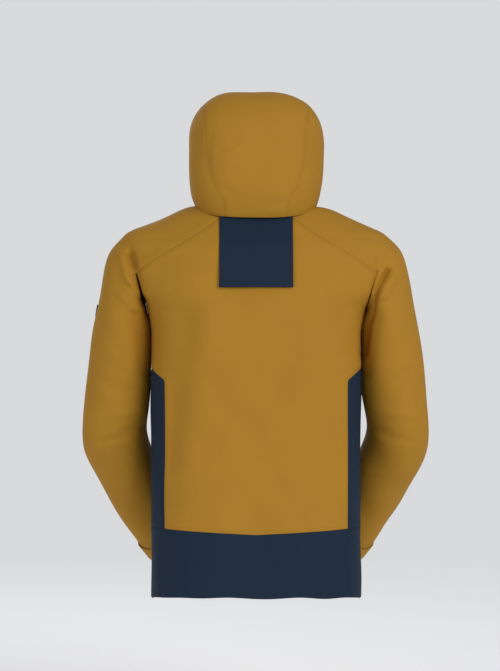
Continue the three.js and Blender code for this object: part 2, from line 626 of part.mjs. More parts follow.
const hoodRimNormal = new THREE.Vector3(0, -HOOD_RIM_SLOPE, -1);
const hoodRimPoint = new THREE.Vector3(0, 110, HOOD_RIM_BACK);
const hoodSeam = [
  [56, HOOD_RIM_BACK - 60],
  [62, HOOD_RIM_BACK + 30],
  [78, HOOD_MIDDLE - 76],
  [92, HOOD_MIDDLE - 24],
  [99, HOOD_MIDDLE + 60],
  [101, HOOD_TOP + 20],
];

// A layer of the hood, cut off at the rim and kept clear of the shoulders and of the collar.
function hoodLayer(outer, thick, rimLift) {
  const sheet = hoodSurface(outer).subtract(hoodSurface(outer + thick));
  const rim = hoodRimPoint.clone().add(new THREE.Vector3(0, 0, rimLift));
  const worn = layer(body, LINING_IN, GAP);
  return sheet.subtract(halfSpace(rim, hoodRimNormal)).subtract(worn);
}

function addHood() {
  const front = (y) => halfSpace(new THREE.Vector3(0, y, HOOD_MIDDLE), new THREE.Vector3(0, -1, 0));
  let outer = hoodLayer(0, SHELL, 0).subtract(front(HOOD_FACE_Y));
  for (const turn of [(p) => p, mirrored]) {
    outer = outer.subtract(seamWall(turn(hoodSeam), [-FAR, FAR]));
  }
  const pieces = outer.decompose();
  add('hood_centre', pieceAt(pieces, [0, HOOD_CENTRE_Y, HOOD_TOP - 1]), MUSTARD);
  for (const [name, side] of SIDES) {
    const flank = [side * (HOOD_HALF_WIDTH - 1), HOOD_CENTRE_Y, HOOD_MIDDLE];
    add(`hood_side_${name}`, pieceAt(pieces, flank), MUSTARD);
  }
  const lining = hoodLayer(SHELL + GAP, HOOD_LINING, 3).subtract(front(HOOD_FACE_Y + 6));
  add('hood_lining', lining, LINING_CLOTH);
  const brimLow = [-FAR, HOOD_FACE_Y - BRIM_LENGTH, HOOD_MIDDLE + 34];
  const brimHigh = [FAR, HOOD_FACE_Y - GAP, HOOD_TOP + 10];
  const visor = hoodSurface(0).subtract(hoodSurface(2 * SHELL));
  add('hood_brim', visor.intersect(box(brimLow, brimHigh)), MUSTARD);
}

// ---- sleeves ------------------------------------------------------------------------------------
// Each ring: inner edge [x, z] and outer edge [x, z], both counted from the armpit, then the middle's
// y, the half depth and the tilt of the ring in degrees.
const SLEEVE_RINGS = [
  [[-4, 1], [34, 147], 2, 60, 0],
  [[2, -7], [72, 112], 0, 68, 0],
  [[0, -24], [88, 58], -2, 72, 0],
  [[-1, -54], [98, 2], -5, 73, 0],
  [[-2, -98], [109, -65], -12, 72, 1],
  [[-1, -148], [119, -135], -21, 69, 4],
  [[2, -194], [126, -204], -32, 66, 9],
  [[4, -224], [128, -248], -42, 64, 14],
  [[1, -248], [122, -285], -58, 61, 20],
  [[-15, -292], [98, -338], -84, 57, 26],
  [[-38, -352], [63, -402], -116, 52, 28],
  [[-64, -410], [29, -456], -142, 48, 28],
  [[-87, -453], [-1, -497], -164, 45, 28],
];
const ELBOW_RING = 7;
const CUFF_RING = SLEEVE_RINGS.length - 1;

function sleeveFrame([inner, outer, y, halfDepth, tilt]) {
  const across = new THREE.Vector3(outer[0] - inner[0], 0, outer[1] - inner[1]);
  const middle = new THREE.Vector3((inner[0] + outer[0]) / 2, y, (inner[1] + outer[1]) / 2);
  const halfWidth = across.length() / 2;
  across.normalize();
  const centre = middle.add(new THREE.Vector3(ARMPIT_HALF_WIDTH, 0, ARMPIT_HEIGHT));
  const back = new THREE.Vector3(0, 1, 0).applyAxisAngle(across, -THREE.MathUtils.degToRad(tilt));
  return { centre, across, back, halfWidth, halfDepth };
}

const sleeveFrames = SLEEVE_RINGS.map(sleeveFrame);

const sleeveRows = sleeveFrames.map(({ centre, across, back, halfWidth, halfDepth }) => {
  const row = [];
  for (let i = 0; i < SLEEVE_SIDES; i += 1) {
    const angle = -2 * Math.PI * (i + 0.5) / SLEEVE_SIDES;
    row.push(centre.clone()
      .addScaledVector(across, halfWidth * Math.cos(angle))
      .addScaledVector(back, halfDepth * Math.sin(angle)));
  }
  return row;
});
const sleeve = makeGrid(sleeveRows);

function crossPlane(index) {
  const { centre, across, back } = sleeveFrames[index];
  const down = new THREE.Vector3().crossVectors(across, back);
  if (down.z > 0) down.negate();
  return { centre, down };
}

const mirrorX = (solid) => solid.mirror([1, 0, 0]);

function sleeveTubes() {
  const elbow = crossPlane(ELBOW_RING);
  const cuffEnd = crossPlane(CUFF_RING);
  const cuffStart = cuffEnd.centre.clone().addScaledVector(cuffEnd.down, -CUFF_LENGTH);
  const before = (point, way, lift) =>
    halfSpace(point.clone().addScaledVector(way, -lift), way.clone().negate());
  const after = (point, way, lift) => halfSpace(point.clone().addScaledVector(way, lift), way);
  const upTo = (lift) => before(cuffEnd.centre, cuffEnd.down, lift);
  const startAt = (solid) => solid.subtract(insideArmhole(1, GAP));
  const liningOut = -SLEEVE_SHELL - GAP;
  const gaiterOut = liningOut - SLEEVE_LINING - GAP;
  const outer = startAt(layer(sleeve, -SLEEVE_SHELL, 0));
  const lining = startAt(layer(sleeve, liningOut - SLEEVE_LINING, liningOut));
  const gaiter = layer(sleeve, gaiterOut - GAITER_THICK, gaiterOut);
  const upper = before(elbow.centre, elbow.down, GAP / 2);
  const lower = after(elbow.centre, elbow.down, GAP / 2);
  const armPart = before(cuffStart, cuffEnd.down, GAP / 2);
  const cuffPart = after(cuffStart, cuffEnd.down, GAP / 2);
  const tabRows = [CUFF_RING - 0.78, CUFF_RING - 0.22];
  return {
    sleeve_upper: outer.intersect(upper),
    sleeve_upper_lining: lining.intersect(upper),
    sleeve_forearm: outer.intersect(lower).intersect(armPart),
    sleeve_forearm_lining: lining.intersect(lower).intersect(upTo(6)),
    cuff: outer.intersect(cuffPart),
    wrist_gaiter: gaiter.intersect(upTo(2)).subtract(upTo(2 + GAITER_LENGTH)),
    cuff_tab: patch(sleeve, [SLEEVE_SIDES - 1.2, SLEEVE_SIDES + 2.6], tabRows, GAP, GAP + TAB_THICK),
  };
}

function addSleeves() {
  const materials = {
    sleeve_upper: MUSTARD,
    sleeve_upper_lining: LINING_CLOTH,
    sleeve_forearm: MUSTARD,
    sleeve_forearm_lining: LINING_CLOTH,
    cuff: MUSTARD,
    wrist_gaiter: FLEECE,
    cuff_tab: MUSTARD,
  };
  const tubes = sleeveTubes();
  for (const [name, side] of SIDES) {
    for (const [piece, material] of Object.entries(materials)) {
      add(`${piece}_${name}`, side > 0 ? tubes[piece] : mirrorX(tubes[piece]), material);
    }
  }
  const badgeColumns = [SLEEVE_SIDES - 0.95, SLEEVE_SIDES - 0.05];
  add('sleeve_badge_left', patch(sleeve, badgeColumns, [2.85, 3.2], GAP, GAP + 2), NAVY);
}

addBodyPanels();
addInside();
addMainZip();
addPocketZips();
addCollar();
addBackFlap();
addHood();
addSleeves();

export default jacket;
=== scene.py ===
import math

import bpy
import numpy as np
from bpy.props import FloatProperty, FloatVectorProperty, PointerProperty
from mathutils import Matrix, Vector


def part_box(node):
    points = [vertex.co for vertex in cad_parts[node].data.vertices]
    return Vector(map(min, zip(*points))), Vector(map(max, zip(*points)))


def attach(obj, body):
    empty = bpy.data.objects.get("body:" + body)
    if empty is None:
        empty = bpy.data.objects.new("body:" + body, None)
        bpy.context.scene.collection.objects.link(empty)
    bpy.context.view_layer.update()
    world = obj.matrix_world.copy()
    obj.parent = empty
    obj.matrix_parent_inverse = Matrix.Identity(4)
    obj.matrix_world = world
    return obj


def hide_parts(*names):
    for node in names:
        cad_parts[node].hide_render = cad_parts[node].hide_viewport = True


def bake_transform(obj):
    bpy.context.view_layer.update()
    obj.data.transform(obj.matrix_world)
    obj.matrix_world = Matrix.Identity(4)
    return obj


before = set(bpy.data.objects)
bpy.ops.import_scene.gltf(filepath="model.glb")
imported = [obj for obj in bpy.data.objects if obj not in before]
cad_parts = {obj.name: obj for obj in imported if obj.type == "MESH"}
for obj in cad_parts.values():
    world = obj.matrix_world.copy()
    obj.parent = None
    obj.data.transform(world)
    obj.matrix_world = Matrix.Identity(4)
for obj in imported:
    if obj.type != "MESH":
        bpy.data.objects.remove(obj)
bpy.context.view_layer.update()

bl_info = {
    "name": "Hooded Ski Jacket",
    "version": (1, 0, 0),
    "blender": (4, 5, 0),
    "location": "3D View > Sidebar > Jacket",
    "description": "Sews the visible cloth, zips and trim of a hooded ski jacket around its frame",
    "category": "Add Mesh",
}

# ---- the frame --------------------------------------------------------------------------------
MM = 0.001
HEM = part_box("hem_band_back")[0].z            # height of the hem in the frame
BACK, FRONT = 1, -1
LEFT, RIGHT = 1, -1
SIDE_NAMES = {LEFT: "left", RIGHT: "right"}

# ---- pattern, in millimetres: x from the middle, height above the hem --------------------------
# height, half width, depth of the back, roundness of the section
BODY_SECTIONS = np.array([
    [0, 204, 134, 2.5], [141, 204, 134, 2.5], [220, 204, 135, 2.5], [320, 204, 137, 2.5],
    [420, 204, 140, 2.5], [510, 204, 143, 2.5], [560, 212, 143, 2.4], [596.5, 242, 139, 2.3],
    [640.3, 262, 129, 2.2], [682.6, 266, 116, 2.1], [706, 255, 103, 2], [722.8, 221, 93, 2],
    [743.2, 172.5, 80, 2], [758.2, 136, 71, 2], [766, 95, 66, 2],
])
FLAT = 30                                     # half the flat middle of a body section
FLAT_SHARE = 0.12                             # share of a quarter's columns on the flat middle
ZIP_FOOT = 140                                # depth of the front at the hem
ZIP_LEAN = 0.055                              # how far the front leans back for each mm of height
SLOT = 8                                      # half the gap between the two fronts
NECK = 766
HEM_SEAM = 141
HEM_DIP = 9                                   # how far the hem seam sags at the middle of the back
HEM_RISE = 12                                 # how much higher the hem is at the back than at the sides
PANEL_EDGE = 176                              # inner edge of a side panel
PANEL_CORNER = 425
PANEL_TOP = 448
ARMPIT = np.array([212.0, 560.0])
ARMHOLE_TOP = np.array([252.33, 707.2])
BACK_RAGLAN = np.array([[57, 766], [60, 748], [88, 724], [138, 691], [187, 662], [231.6, 631]])
FRONT_RAGLAN = np.array([[57, 766], [64, 744], [110, 698], [160, 650], [214.5, 573.5]])
# inner edge x, height; outer edge x, height; y of the middle; half depth; tilt
SLEEVE_RINGS = np.array([
    [208, 561, 246, 707, 2, 60, 0], [209, 553, 280, 673, 0, 68, 0], [205, 536, 299, 618, -2, 72, 0],
    [204, 506, 310, 562, -5, 73, 0], [204, 462, 321, 495, -12, 72, 1],
    [206.5, 412, 331, 425, -21, 69, 4], [213, 366, 338, 356, -32, 66, 9],
    [216, 336, 340, 312, -42, 64, 14], [213, 312, 334, 275, -58, 61, 20],
    [197, 268, 310, 222, -84, 57, 26], [174, 208, 275, 158, -116, 52, 28],
    [148, 150, 241, 104, -142, 48, 28], [125, 107, 211, 63, -164, 45, 28],
])
SLEEVE_SPLIT = 5.8                            # ring at which the upper sleeve hands over to the lower
FREE_OF_SEAMS = 60.0                          # a distance from the seams at which they have no effect
RING_STEP = 58                                # cloth between two rings
SLEEVE_COLUMNS = 109                          # columns of cloth over the top of the armhole
SLEEVE_TURN = 75                              # cloth for each radian round the sleeve
SHOULDER_BLEND = ((-4, 1), (27, -7.5))        # ends of the bend, x and height from the armhole
ELBOW_REACH = 42                              # how far the bend spreads on both sides of the elbow
CUFF_START = 11.02
CUFF_RINGS = (11, 12)                         # the rings that the cuff lies between
ELBOW_RING = 7
HOOD_HALF_WIDTH = 132
HOOD_DEPTH = 125
HOOD_CENTRE = np.array([0.0, -5.0, 870.0])
HOOD_CROWN = 115                              # height of the crown above the widest level
HOOD_SKIRT = 190                              # reach of the hood's curve below the widest level
CROWN_ROUNDNESS = 2.75
SKIRT_ROUNDNESS = 2.5
HOOD_ROUNDNESS = 2.8                          # of the level sections
HOOD_RIM = 732                                # lowest point of the hood, at the back
HOOD_RIM_Y = 110                              # where the rim is lowest
HOOD_RIM_SLOPE = 0.32
HOOD_FACE = -100                              # y of the face opening
BRIM_FRONT = -121.5
BRIM_FOOT = 906
# height and distance from the middle of the hood's side seams
HOOD_SEAM = np.array([[678, 56], [768, 62], [794, 78], [846, 92], [930, 99], [985, 101]])
FLAP_HALF_WIDTH = 70
FLAP_TOP = 737
FLAP_BOTTOM = 602
COLLAR_HEIGHT = 47
COLLAR_SLOT = 18                              # half the gap in front between the fleece's ends
COLLAR_FRONT = 97.9                           # depth of the front at the neck seam
COLLAR_SIDE_IN, COLLAR_BACK_IN, COLLAR_FRONT_IN = 11, 4, 2.6    # narrowing up to the top edge
SKIRT_LOW, SKIRT_HIGH = 170, 280              # the powder skirt
SKIRT_DEPTH = -14.5                           # from the outside of the body to the skirt
POCKET_BAG = (64, 163, 286, 429)              # near and far x, low and high
INNER_POCKET = (71, 155, 442, 550)
POCKET_DEPTH = -13.5                          # from the outside of the body to the pockets
SLEEVE_LINING = -5.5                          # from the outside of the sleeve to its lining
LINING_END = 11.85                            # ring at which the sleeve's lining ends
CUFF_LENGTH = 45
CUFF_FOLD = 2.6                               # radius of the turned-in edge
GAITER_RINGS = (10.9, 11.95)
TAB_RINGS = (11.22, 11.78)
TAB_ANGLES = (-1.2, 2.6)                      # in fourteenths of a turn
BADGE_RINGS = (2.85, 3.2)
BADGE_ANGLES = (-0.95, 0.05)
FOURTEENTH = 2 * math.pi / 14
CAMERA_ASIDE = 0.0117
LENS = 137.6
SENSOR = 36


# ---- numbers along curves ----------------------------------------------------------------------
def through(xs, ys, at):
    """Smooth curve through points: between two points a cubic whose slope at each point is the
    harmonic mean of the straight slopes on its two sides, and level where they turn."""
    xs, ys = np.asarray(xs, float), np.asarray(ys, float)
    rise = np.diff(ys) / np.diff(xs)
    slope = np.concatenate([rise[:1], rise[1:], rise[-1:]])
    product = rise[:-1] * rise[1:]
    total = np.where(product > 0, rise[:-1] + rise[1:], 1)
    slope[1:-1] = np.where(product > 0, 2 * product / total, 0)
    at = np.clip(at, xs[0], xs[-1])
    k = np.clip(np.searchsorted(xs, at, side="right") - 1, 0, len(xs) - 2)
    width = xs[k + 1] - xs[k]
    t = (at - xs[k]) / width
    return (ys[k] * (1 + 2 * t) * (1 - t) ** 2 + ys[k + 1] * t * t * (3 - 2 * t)
            + width * (slope[k] * t * (1 - t) ** 2 - slope[k + 1] * t * t * (1 - t)))


def between_rows(table, at):
    """Reads a table at fractional row numbers: each column is a Catmull-Rom curve through its rows."""
    at = np.clip(np.asarray(at, float), 0, len(table) - 1)
    k = np.minimum(at.astype(int), len(table) - 2)
    t = (at - k)[..., None]
    a, b = table[np.maximum(k - 1, 0)], table[k]
    c, d = table[k + 1], table[np.minimum(k + 2, len(table) - 1)]
    return 0.5 * (2 * b + (c - a) * t + (2 * a - 5 * b + 4 * c - d) * t ** 2
                  + (3 * b - a - 3 * c + d) * t ** 3)


def ease(x, low, high):
    """Nought below low, one above high, and a smooth s-curve between."""
    t = np.clip((x - low) / (high - low), 0, 1)
    return t * t * (3 - 2 * t)


# ---- shapes ------------------------------------------------------------------------------------
def body_section(height):
    """Half width, back depth and roundness of the body at a height."""
    levels = BODY_SECTIONS[:, 0]
    return [through(levels, BODY_SECTIONS[:, column], height) for column in (1, 2, 3)]


def body(girth, height):
    """A body section is two half superellipses of different depth joined at the sides, with a flat
    middle. Girth runs -1 at the right side, 0 at the middle of the back, 1 at the left side, 2 at
    the middle of the front and 3 at the right side again."""
    half, back, roundness = body_section(height)
    turn = np.mod(girth + 1, 4) - 1
    front = turn > 1
    across = np.where(front, 2 - turn, turn)
    reach = np.abs(across)
    angle = (1 - np.clip((reach - FLAT_SHARE) / (1 - FLAT_SHARE), 0, 1)) * math.pi / 2
    curved = FLAT + (half - FLAT) * np.cos(angle) ** (2 / roundness)
    x = np.sign(across) * np.where(reach < FLAT_SHARE, FLAT * reach / FLAT_SHARE, curved)
    depth = np.where(front, -(ZIP_FOOT - ZIP_LEAN * height), back)
    return np.stack([x, depth * np.sin(angle) ** (2 / roundness), height + 0 * x], -1)


def girth_at(x, height, side):
    """The girth at which the back or the front of the body is x from the middle."""
    half, _, roundness = body_section(height)
    reach = np.abs(x)
    angle = np.arccos(np.clip((reach - FLAT) / (half - FLAT), 0, 1) ** (roundness / 2))
    curved = 1 - angle / (math.pi / 2) * (1 - FLAT_SHARE)
    across = np.sign(x) * np.where(reach < FLAT, FLAT_SHARE * reach / FLAT, curved)
    return across if side == BACK else 2 - across


def armhole(around):
    """The line where the body is cut for a sleeve: its height goes as the cosine of the angle
    around, from the armpit at half a turn to the shoulder at nought, and its y lies on the body."""
    middle, reach = (ARMPIT + ARMHOLE_TOP) / 2, (ARMHOLE_TOP - ARMPIT) / 2
    line = middle + reach * np.cos(around)[..., None]
    x, height = line[..., 0], line[..., 1]
    back = body(girth_at(x, height, BACK), height)[..., 1]
    front = body(girth_at(x, height, FRONT), height)[..., 1]
    y = np.where(np.sin(around) >= 0, back, front) * (np.abs(np.sin(around)) > 1e-6)
    return np.stack([x, y, height], -1)


def sleeve(along, around):
    """An ellipse between the inner and the outer edge of the sleeve, turned about that line by the
    tilt, with the edges, depth and tilt read at a ring number. Near the body each ellipse is moved
    by what is missing between the first one and the armhole, so the sleeve starts on the body."""
    ring = between_rows(SLEEVE_RINGS, along)
    inner, outer = ring[..., 0:2], ring[..., 2:4]
    tilt = np.radians(ring[..., 6])
    span = outer - inner
    half = np.linalg.norm(span, axis=-1) / 2
    across = span / (2 * half)[..., None]
    middle = (inner + outer) / 2
    wide, deep = half * np.cos(around), ring[..., 5] * np.sin(around)
    x = middle[..., 0] + across[..., 0] * wide + across[..., 1] * np.sin(tilt) * deep
    y = ring[..., 4] + np.cos(tilt) * deep
    z = middle[..., 1] + across[..., 1] * wide - across[..., 0] * np.sin(tilt) * deep
    return np.stack([x, y, z], -1)


def fitted_sleeve(along, around):
    """The sleeve with its start drawn onto the armhole."""
    missing = armhole(around) - sleeve(0 * along, around)
    return sleeve(along, around) + missing * (1 - ease(along, 0, 2.6))[..., None]


def hood_fullness(height):
    """Share of the hood's full width at a height: a superellipse, taller below than above."""
    above = height > HOOD_CENTRE[2]
    reach = np.where(above, HOOD_CROWN, HOOD_SKIRT)
    power = np.where(above, CROWN_ROUNDNESS, SKIRT_ROUNDNESS)
    share = np.clip(np.abs(height - HOOD_CENTRE[2]) / reach, 0, 1)
    return (1 - share ** power) ** (1 / power)


def hood_outside(x, y, z):
    """How far a point is outside the hood: nought on its surface."""
    above = z > HOOD_CENTRE[2]
    reach = np.where(above, HOOD_CROWN, HOOD_SKIRT)
    power = np.where(above, CROWN_ROUNDNESS, SKIRT_ROUNDNESS)
    level = (np.abs(x / HOOD_HALF_WIDTH) ** HOOD_ROUNDNESS
             + np.abs((y - HOOD_CENTRE[1]) / HOOD_DEPTH) ** HOOD_ROUNDNESS)
    return level ** (power / HOOD_ROUNDNESS) + np.abs((z - HOOD_CENTRE[2]) / reach) ** power - 1


def halving(low, high, outside, steps=34):
    """Where outside changes sign between low and high, found by halving the gap again and again."""
    low, high = low + 0.0 * high, high + 0.0 * low
    for _ in range(steps):
        middle = (low + high) / 2
        out = outside(middle) > 0
        high, low = np.where(out, middle, high), np.where(out, low, middle)
    return (low + high) / 2


def hood_arc(x, pitch):
    """The point of the hood at x from the middle, in the direction pitch from its centre: nought
    points backwards and a quarter turn straight up. Its distance is found by halving."""
    def outside(distance):
        """Above nought where the point is outside the hood."""
        return hood_outside(x, HOOD_CENTRE[1] + distance * np.cos(pitch),
                            HOOD_CENTRE[2] + distance * np.sin(pitch))
    distance = halving(0 * x + 0 * pitch, 240 + 0 * x + 0 * pitch, outside)
    return np.stack([x + 0 * pitch, HOOD_CENTRE[1] + distance * np.cos(pitch),
                     HOOD_CENTRE[2] + distance * np.sin(pitch)], -1)


def hood_level(angle, height):
    """The point of the hood at a height and an angle round it, from the side towards the back."""
    full = hood_fullness(height)
    x = HOOD_HALF_WIDTH * full * np.cos(angle) ** (2 / HOOD_ROUNDNESS)
    y = HOOD_DEPTH * full * np.abs(np.sin(angle)) ** (2 / HOOD_ROUNDNESS) * np.sign(angle)
    return np.stack([x, HOOD_CENTRE[1] + y, height + 0 * x], -1)


# ---- grids -------------------------------------------------------------------------------------
def grid_faces(rows, columns, closed=False):
    """The quads of a grid of points numbered row by row. They face outwards where each row runs to
    the left and the rows run up, as seen from outside. A closed grid joins its last column to its
    first."""
    index = np.arange(rows * columns).reshape(rows, columns)
    if closed:
        index = np.concatenate([index, index[:, :1]], 1)
    low, high = index[:-1], index[1:]
    return np.stack([low[:, :-1], high[:, :-1], high[:, 1:], low[:, 1:]], -1).reshape(-1, 4)


def facing(points, faces):
    """Normals of the points: the sum of the cross products of the diagonals of their faces."""
    cross = np.cross(points[faces[:, 2]] - points[faces[:, 0]],
                     points[faces[:, 3]] - points[faces[:, 1]])
    total = np.zeros_like(points)
    for corner in range(4):
        np.add.at(total, faces[:, corner], cross)
    return total / np.maximum(np.linalg.norm(total, axis=1, keepdims=True), 1e-12)


def weld(points, faces):
    """Points that lie on the same spot become one: which points to keep, and the faces on them."""
    keys = np.round(points * 2000).astype(np.int64)
    _, first, merged = np.unique(keys, axis=0, return_index=True, return_inverse=True)
    return first, merged.reshape(-1)[faces]


def line_distance(points, line):
    """Distance of each point from a line drawn through corners, its nearest stretch counting."""
    nearest = np.full(len(points), 1e9)
    for start, end in zip(line[:-1], line[1:]):
        run = end - start
        share = np.clip((points - start) @ run / max(run @ run, 1e-9), 0, 1)
        nearest = np.minimum(nearest, np.linalg.norm(points - start - share[:, None] * run, axis=1))
    return nearest


class Cloth:
    """Points of one face of a piece of cloth, its quads, its grain in mm and how far each point is
    from the sewn edge."""

    def __init__(self, points, faces, grain, edge):
        self.points, self.faces, self.grain, self.edge = points, faces, grain, edge

    @classmethod
    def grid(cls, points, seams="lrbt", closed=False):
        """A sheet from a grid of points. Seams names its sewn edges: left, right, bottom, top."""
        rows, columns = points.shape[:2]
        flat = points.reshape(-1, 3)
        right = np.linalg.norm(np.diff(points, axis=1), axis=-1)
        up = np.linalg.norm(np.diff(points, axis=0), axis=-1)
        run = np.concatenate([np.zeros((rows, 1)), np.cumsum(right, 1)], 1)
        run = run - run[:, columns // 2][:, None]
        rise = np.concatenate([np.zeros((1, columns)), np.cumsum(up, 0)], 0)
        lines = {"l": points[:, 0], "r": points[:, -1], "b": points[0], "t": points[-1]}
        edge = np.full(len(flat), FREE_OF_SEAMS)
        for seam in seams:
            line = lines[seam][:: max(1, len(lines[seam]) // 48)]
            edge = np.minimum(edge, line_distance(flat, np.concatenate([line, lines[seam][-1:]])))
        grain = np.stack([run, rise], -1).reshape(-1, 2)
        return cls(flat, grid_faces(rows, columns, closed=closed), grain, edge)

    def joined(self, other):
        """Both sheets as one, with points on the same spot welded."""
        points = np.concatenate([self.points, other.points])
        faces = np.concatenate([self.faces, other.faces + len(self.points)])
        first, faces = weld(points, faces)
        return Cloth(points[first], faces, np.concatenate([self.grain, other.grain])[first],
                     np.concatenate([self.edge, other.edge])[first])

    def mirrored(self):
        """The same sheet for the wearer's right side."""
        return Cloth(self.points * [-1, 1, 1], self.faces[:, ::-1], self.grain * [-1, 1], self.edge)

    def normals(self):
        """Outward normals, shared by points that lie on the same spot."""
        first, faces = weld(self.points, self.faces)
        merged = np.zeros(len(self.points), int)
        merged[self.faces.reshape(-1)] = faces.reshape(-1)
        return facing(self.points[first], faces)[merged]

    def parted(self, level):
        """The sheet cut in two between quads: what lies before a level of the grain, and the rest."""
        beyond = self.grain[self.faces, 1].max(1) > level + 0.01
        parts = []
        for faces in (self.faces[~beyond], self.faces[beyond]):
            used, faces = np.unique(faces, return_inverse=True)
            parts.append(Cloth(self.points[used], faces.reshape(-1, 4), self.grain[used],
                               self.edge[used]))
        return parts

    def moved(self, distance):
        """The sheet pushed outwards along its normals."""
        return Cloth(self.points + self.normals() * np.reshape(distance, (-1, 1)), self.faces,
                     self.grain, self.edge)

    def relaxed(self, amount, steps):
        """Each point drawn towards the mean of its neighbours, by its own amount, step by step."""
        sides = np.concatenate([self.faces[:, [0, 1]], self.faces[:, [1, 2]],
                                self.faces[:, [2, 3]], self.faces[:, [3, 0]]])
        sides = np.concatenate([sides, sides[:, ::-1]])
        count = np.bincount(sides[:, 0], minlength=len(self.points))[:, None]
        points = self.points.copy()
        for _ in range(steps):
            total = np.zeros_like(points)
            np.add.at(total, sides[:, 0], points[sides[:, 1]])
            points += amount[:, None] * (total / np.maximum(count, 1) - points)
        return Cloth(points, self.faces, self.grain, self.edge)


def thick_mesh(name, cloths, thickness):
    """A closed mesh from sheets: each sheet, a copy pushed in along its normals and turned over,
    and a strip of quads along every edge that only one quad uses."""
    points, faces, grain, edge, start = [], [], [], [], 0
    for cloth in cloths:
        first, quads = weld(cloth.points, cloth.faces)
        outer = cloth.points[first]
        keep = (quads[:, 0] != quads[:, 2]) & (quads[:, 1] != quads[:, 3])
        quads = quads[keep]
        inner = outer - facing(outer, quads) * thickness
        sides = np.concatenate([quads[:, [k, (k + 1) % 4]] for k in range(4)])
        sides = sides[sides[:, 0] != sides[:, 1]]
        _, where, count = np.unique(np.sort(sides, 1), axis=0, return_index=True, return_counts=True)
        rim = sides[where[count == 1]]
        size = len(outer)
        strip = np.stack([rim[:, 1], rim[:, 0], rim[:, 0] + size, rim[:, 1] + size], -1)
        points += [outer, inner]
        faces.append(start + np.concatenate([quads, quads[:, ::-1] + size, strip]))
        grain += [cloth.grain[first]] * 2
        edge += [cloth.edge[first]] * 2
        start += 2 * size
    return mesh_from(name, np.concatenate(points), np.concatenate(faces), np.concatenate(grain),
                     np.concatenate(edge))


def mesh_from(name, points, faces, grain, edge):
    """A mesh object at the origin. Quads with a doubled corner become triangles, the grain goes in
    the UV map in decimetres and the distance from the seam in an attribute in millimetres."""
    doubled = np.stack([faces[:, k] == faces[:, (k + 1) % 4] for k in range(4)], -1)
    keep = np.ones_like(faces, bool)
    keep[doubled.any(1), doubled[doubled.any(1)].argmax(1)] = False
    sizes = keep.sum(1)
    corners = faces[keep]
    mesh = bpy.data.meshes.new(name)
    mesh.vertices.add(len(points))
    mesh.vertices.foreach_set("co", to_frame(points).astype(np.float32).ravel())
    mesh.loops.add(len(corners))
    mesh.loops.foreach_set("vertex_index", corners.astype(np.int32))
    mesh.polygons.add(len(faces))
    mesh.polygons.foreach_set("loop_start", (np.cumsum(sizes) - sizes).astype(np.int32))
    mesh.update(calc_edges=True)
    uv = mesh.uv_layers.new(name="grain")
    uv.data.foreach_set("uv", (grain[corners] * 0.01).astype(np.float32).ravel())
    seam = mesh.attributes.new("seam", "FLOAT", "POINT")
    seam.data.foreach_set("value", edge.astype(np.float32))
    mesh.shade_smooth()
    mesh.set_sharp_from_angle(angle=math.radians(42))
    made = bpy.data.objects.new(name, mesh)
    bpy.context.scene.collection.objects.link(made)
    return made


def to_frame(points):
    """From the pattern's millimetres to the frame's metres."""
    return points * MM + np.array([0, 0, HEM])


def spot(x, y, height):
    """One point of the pattern, in the frame."""
    return tuple(to_frame(np.array([x, y, height], float)))


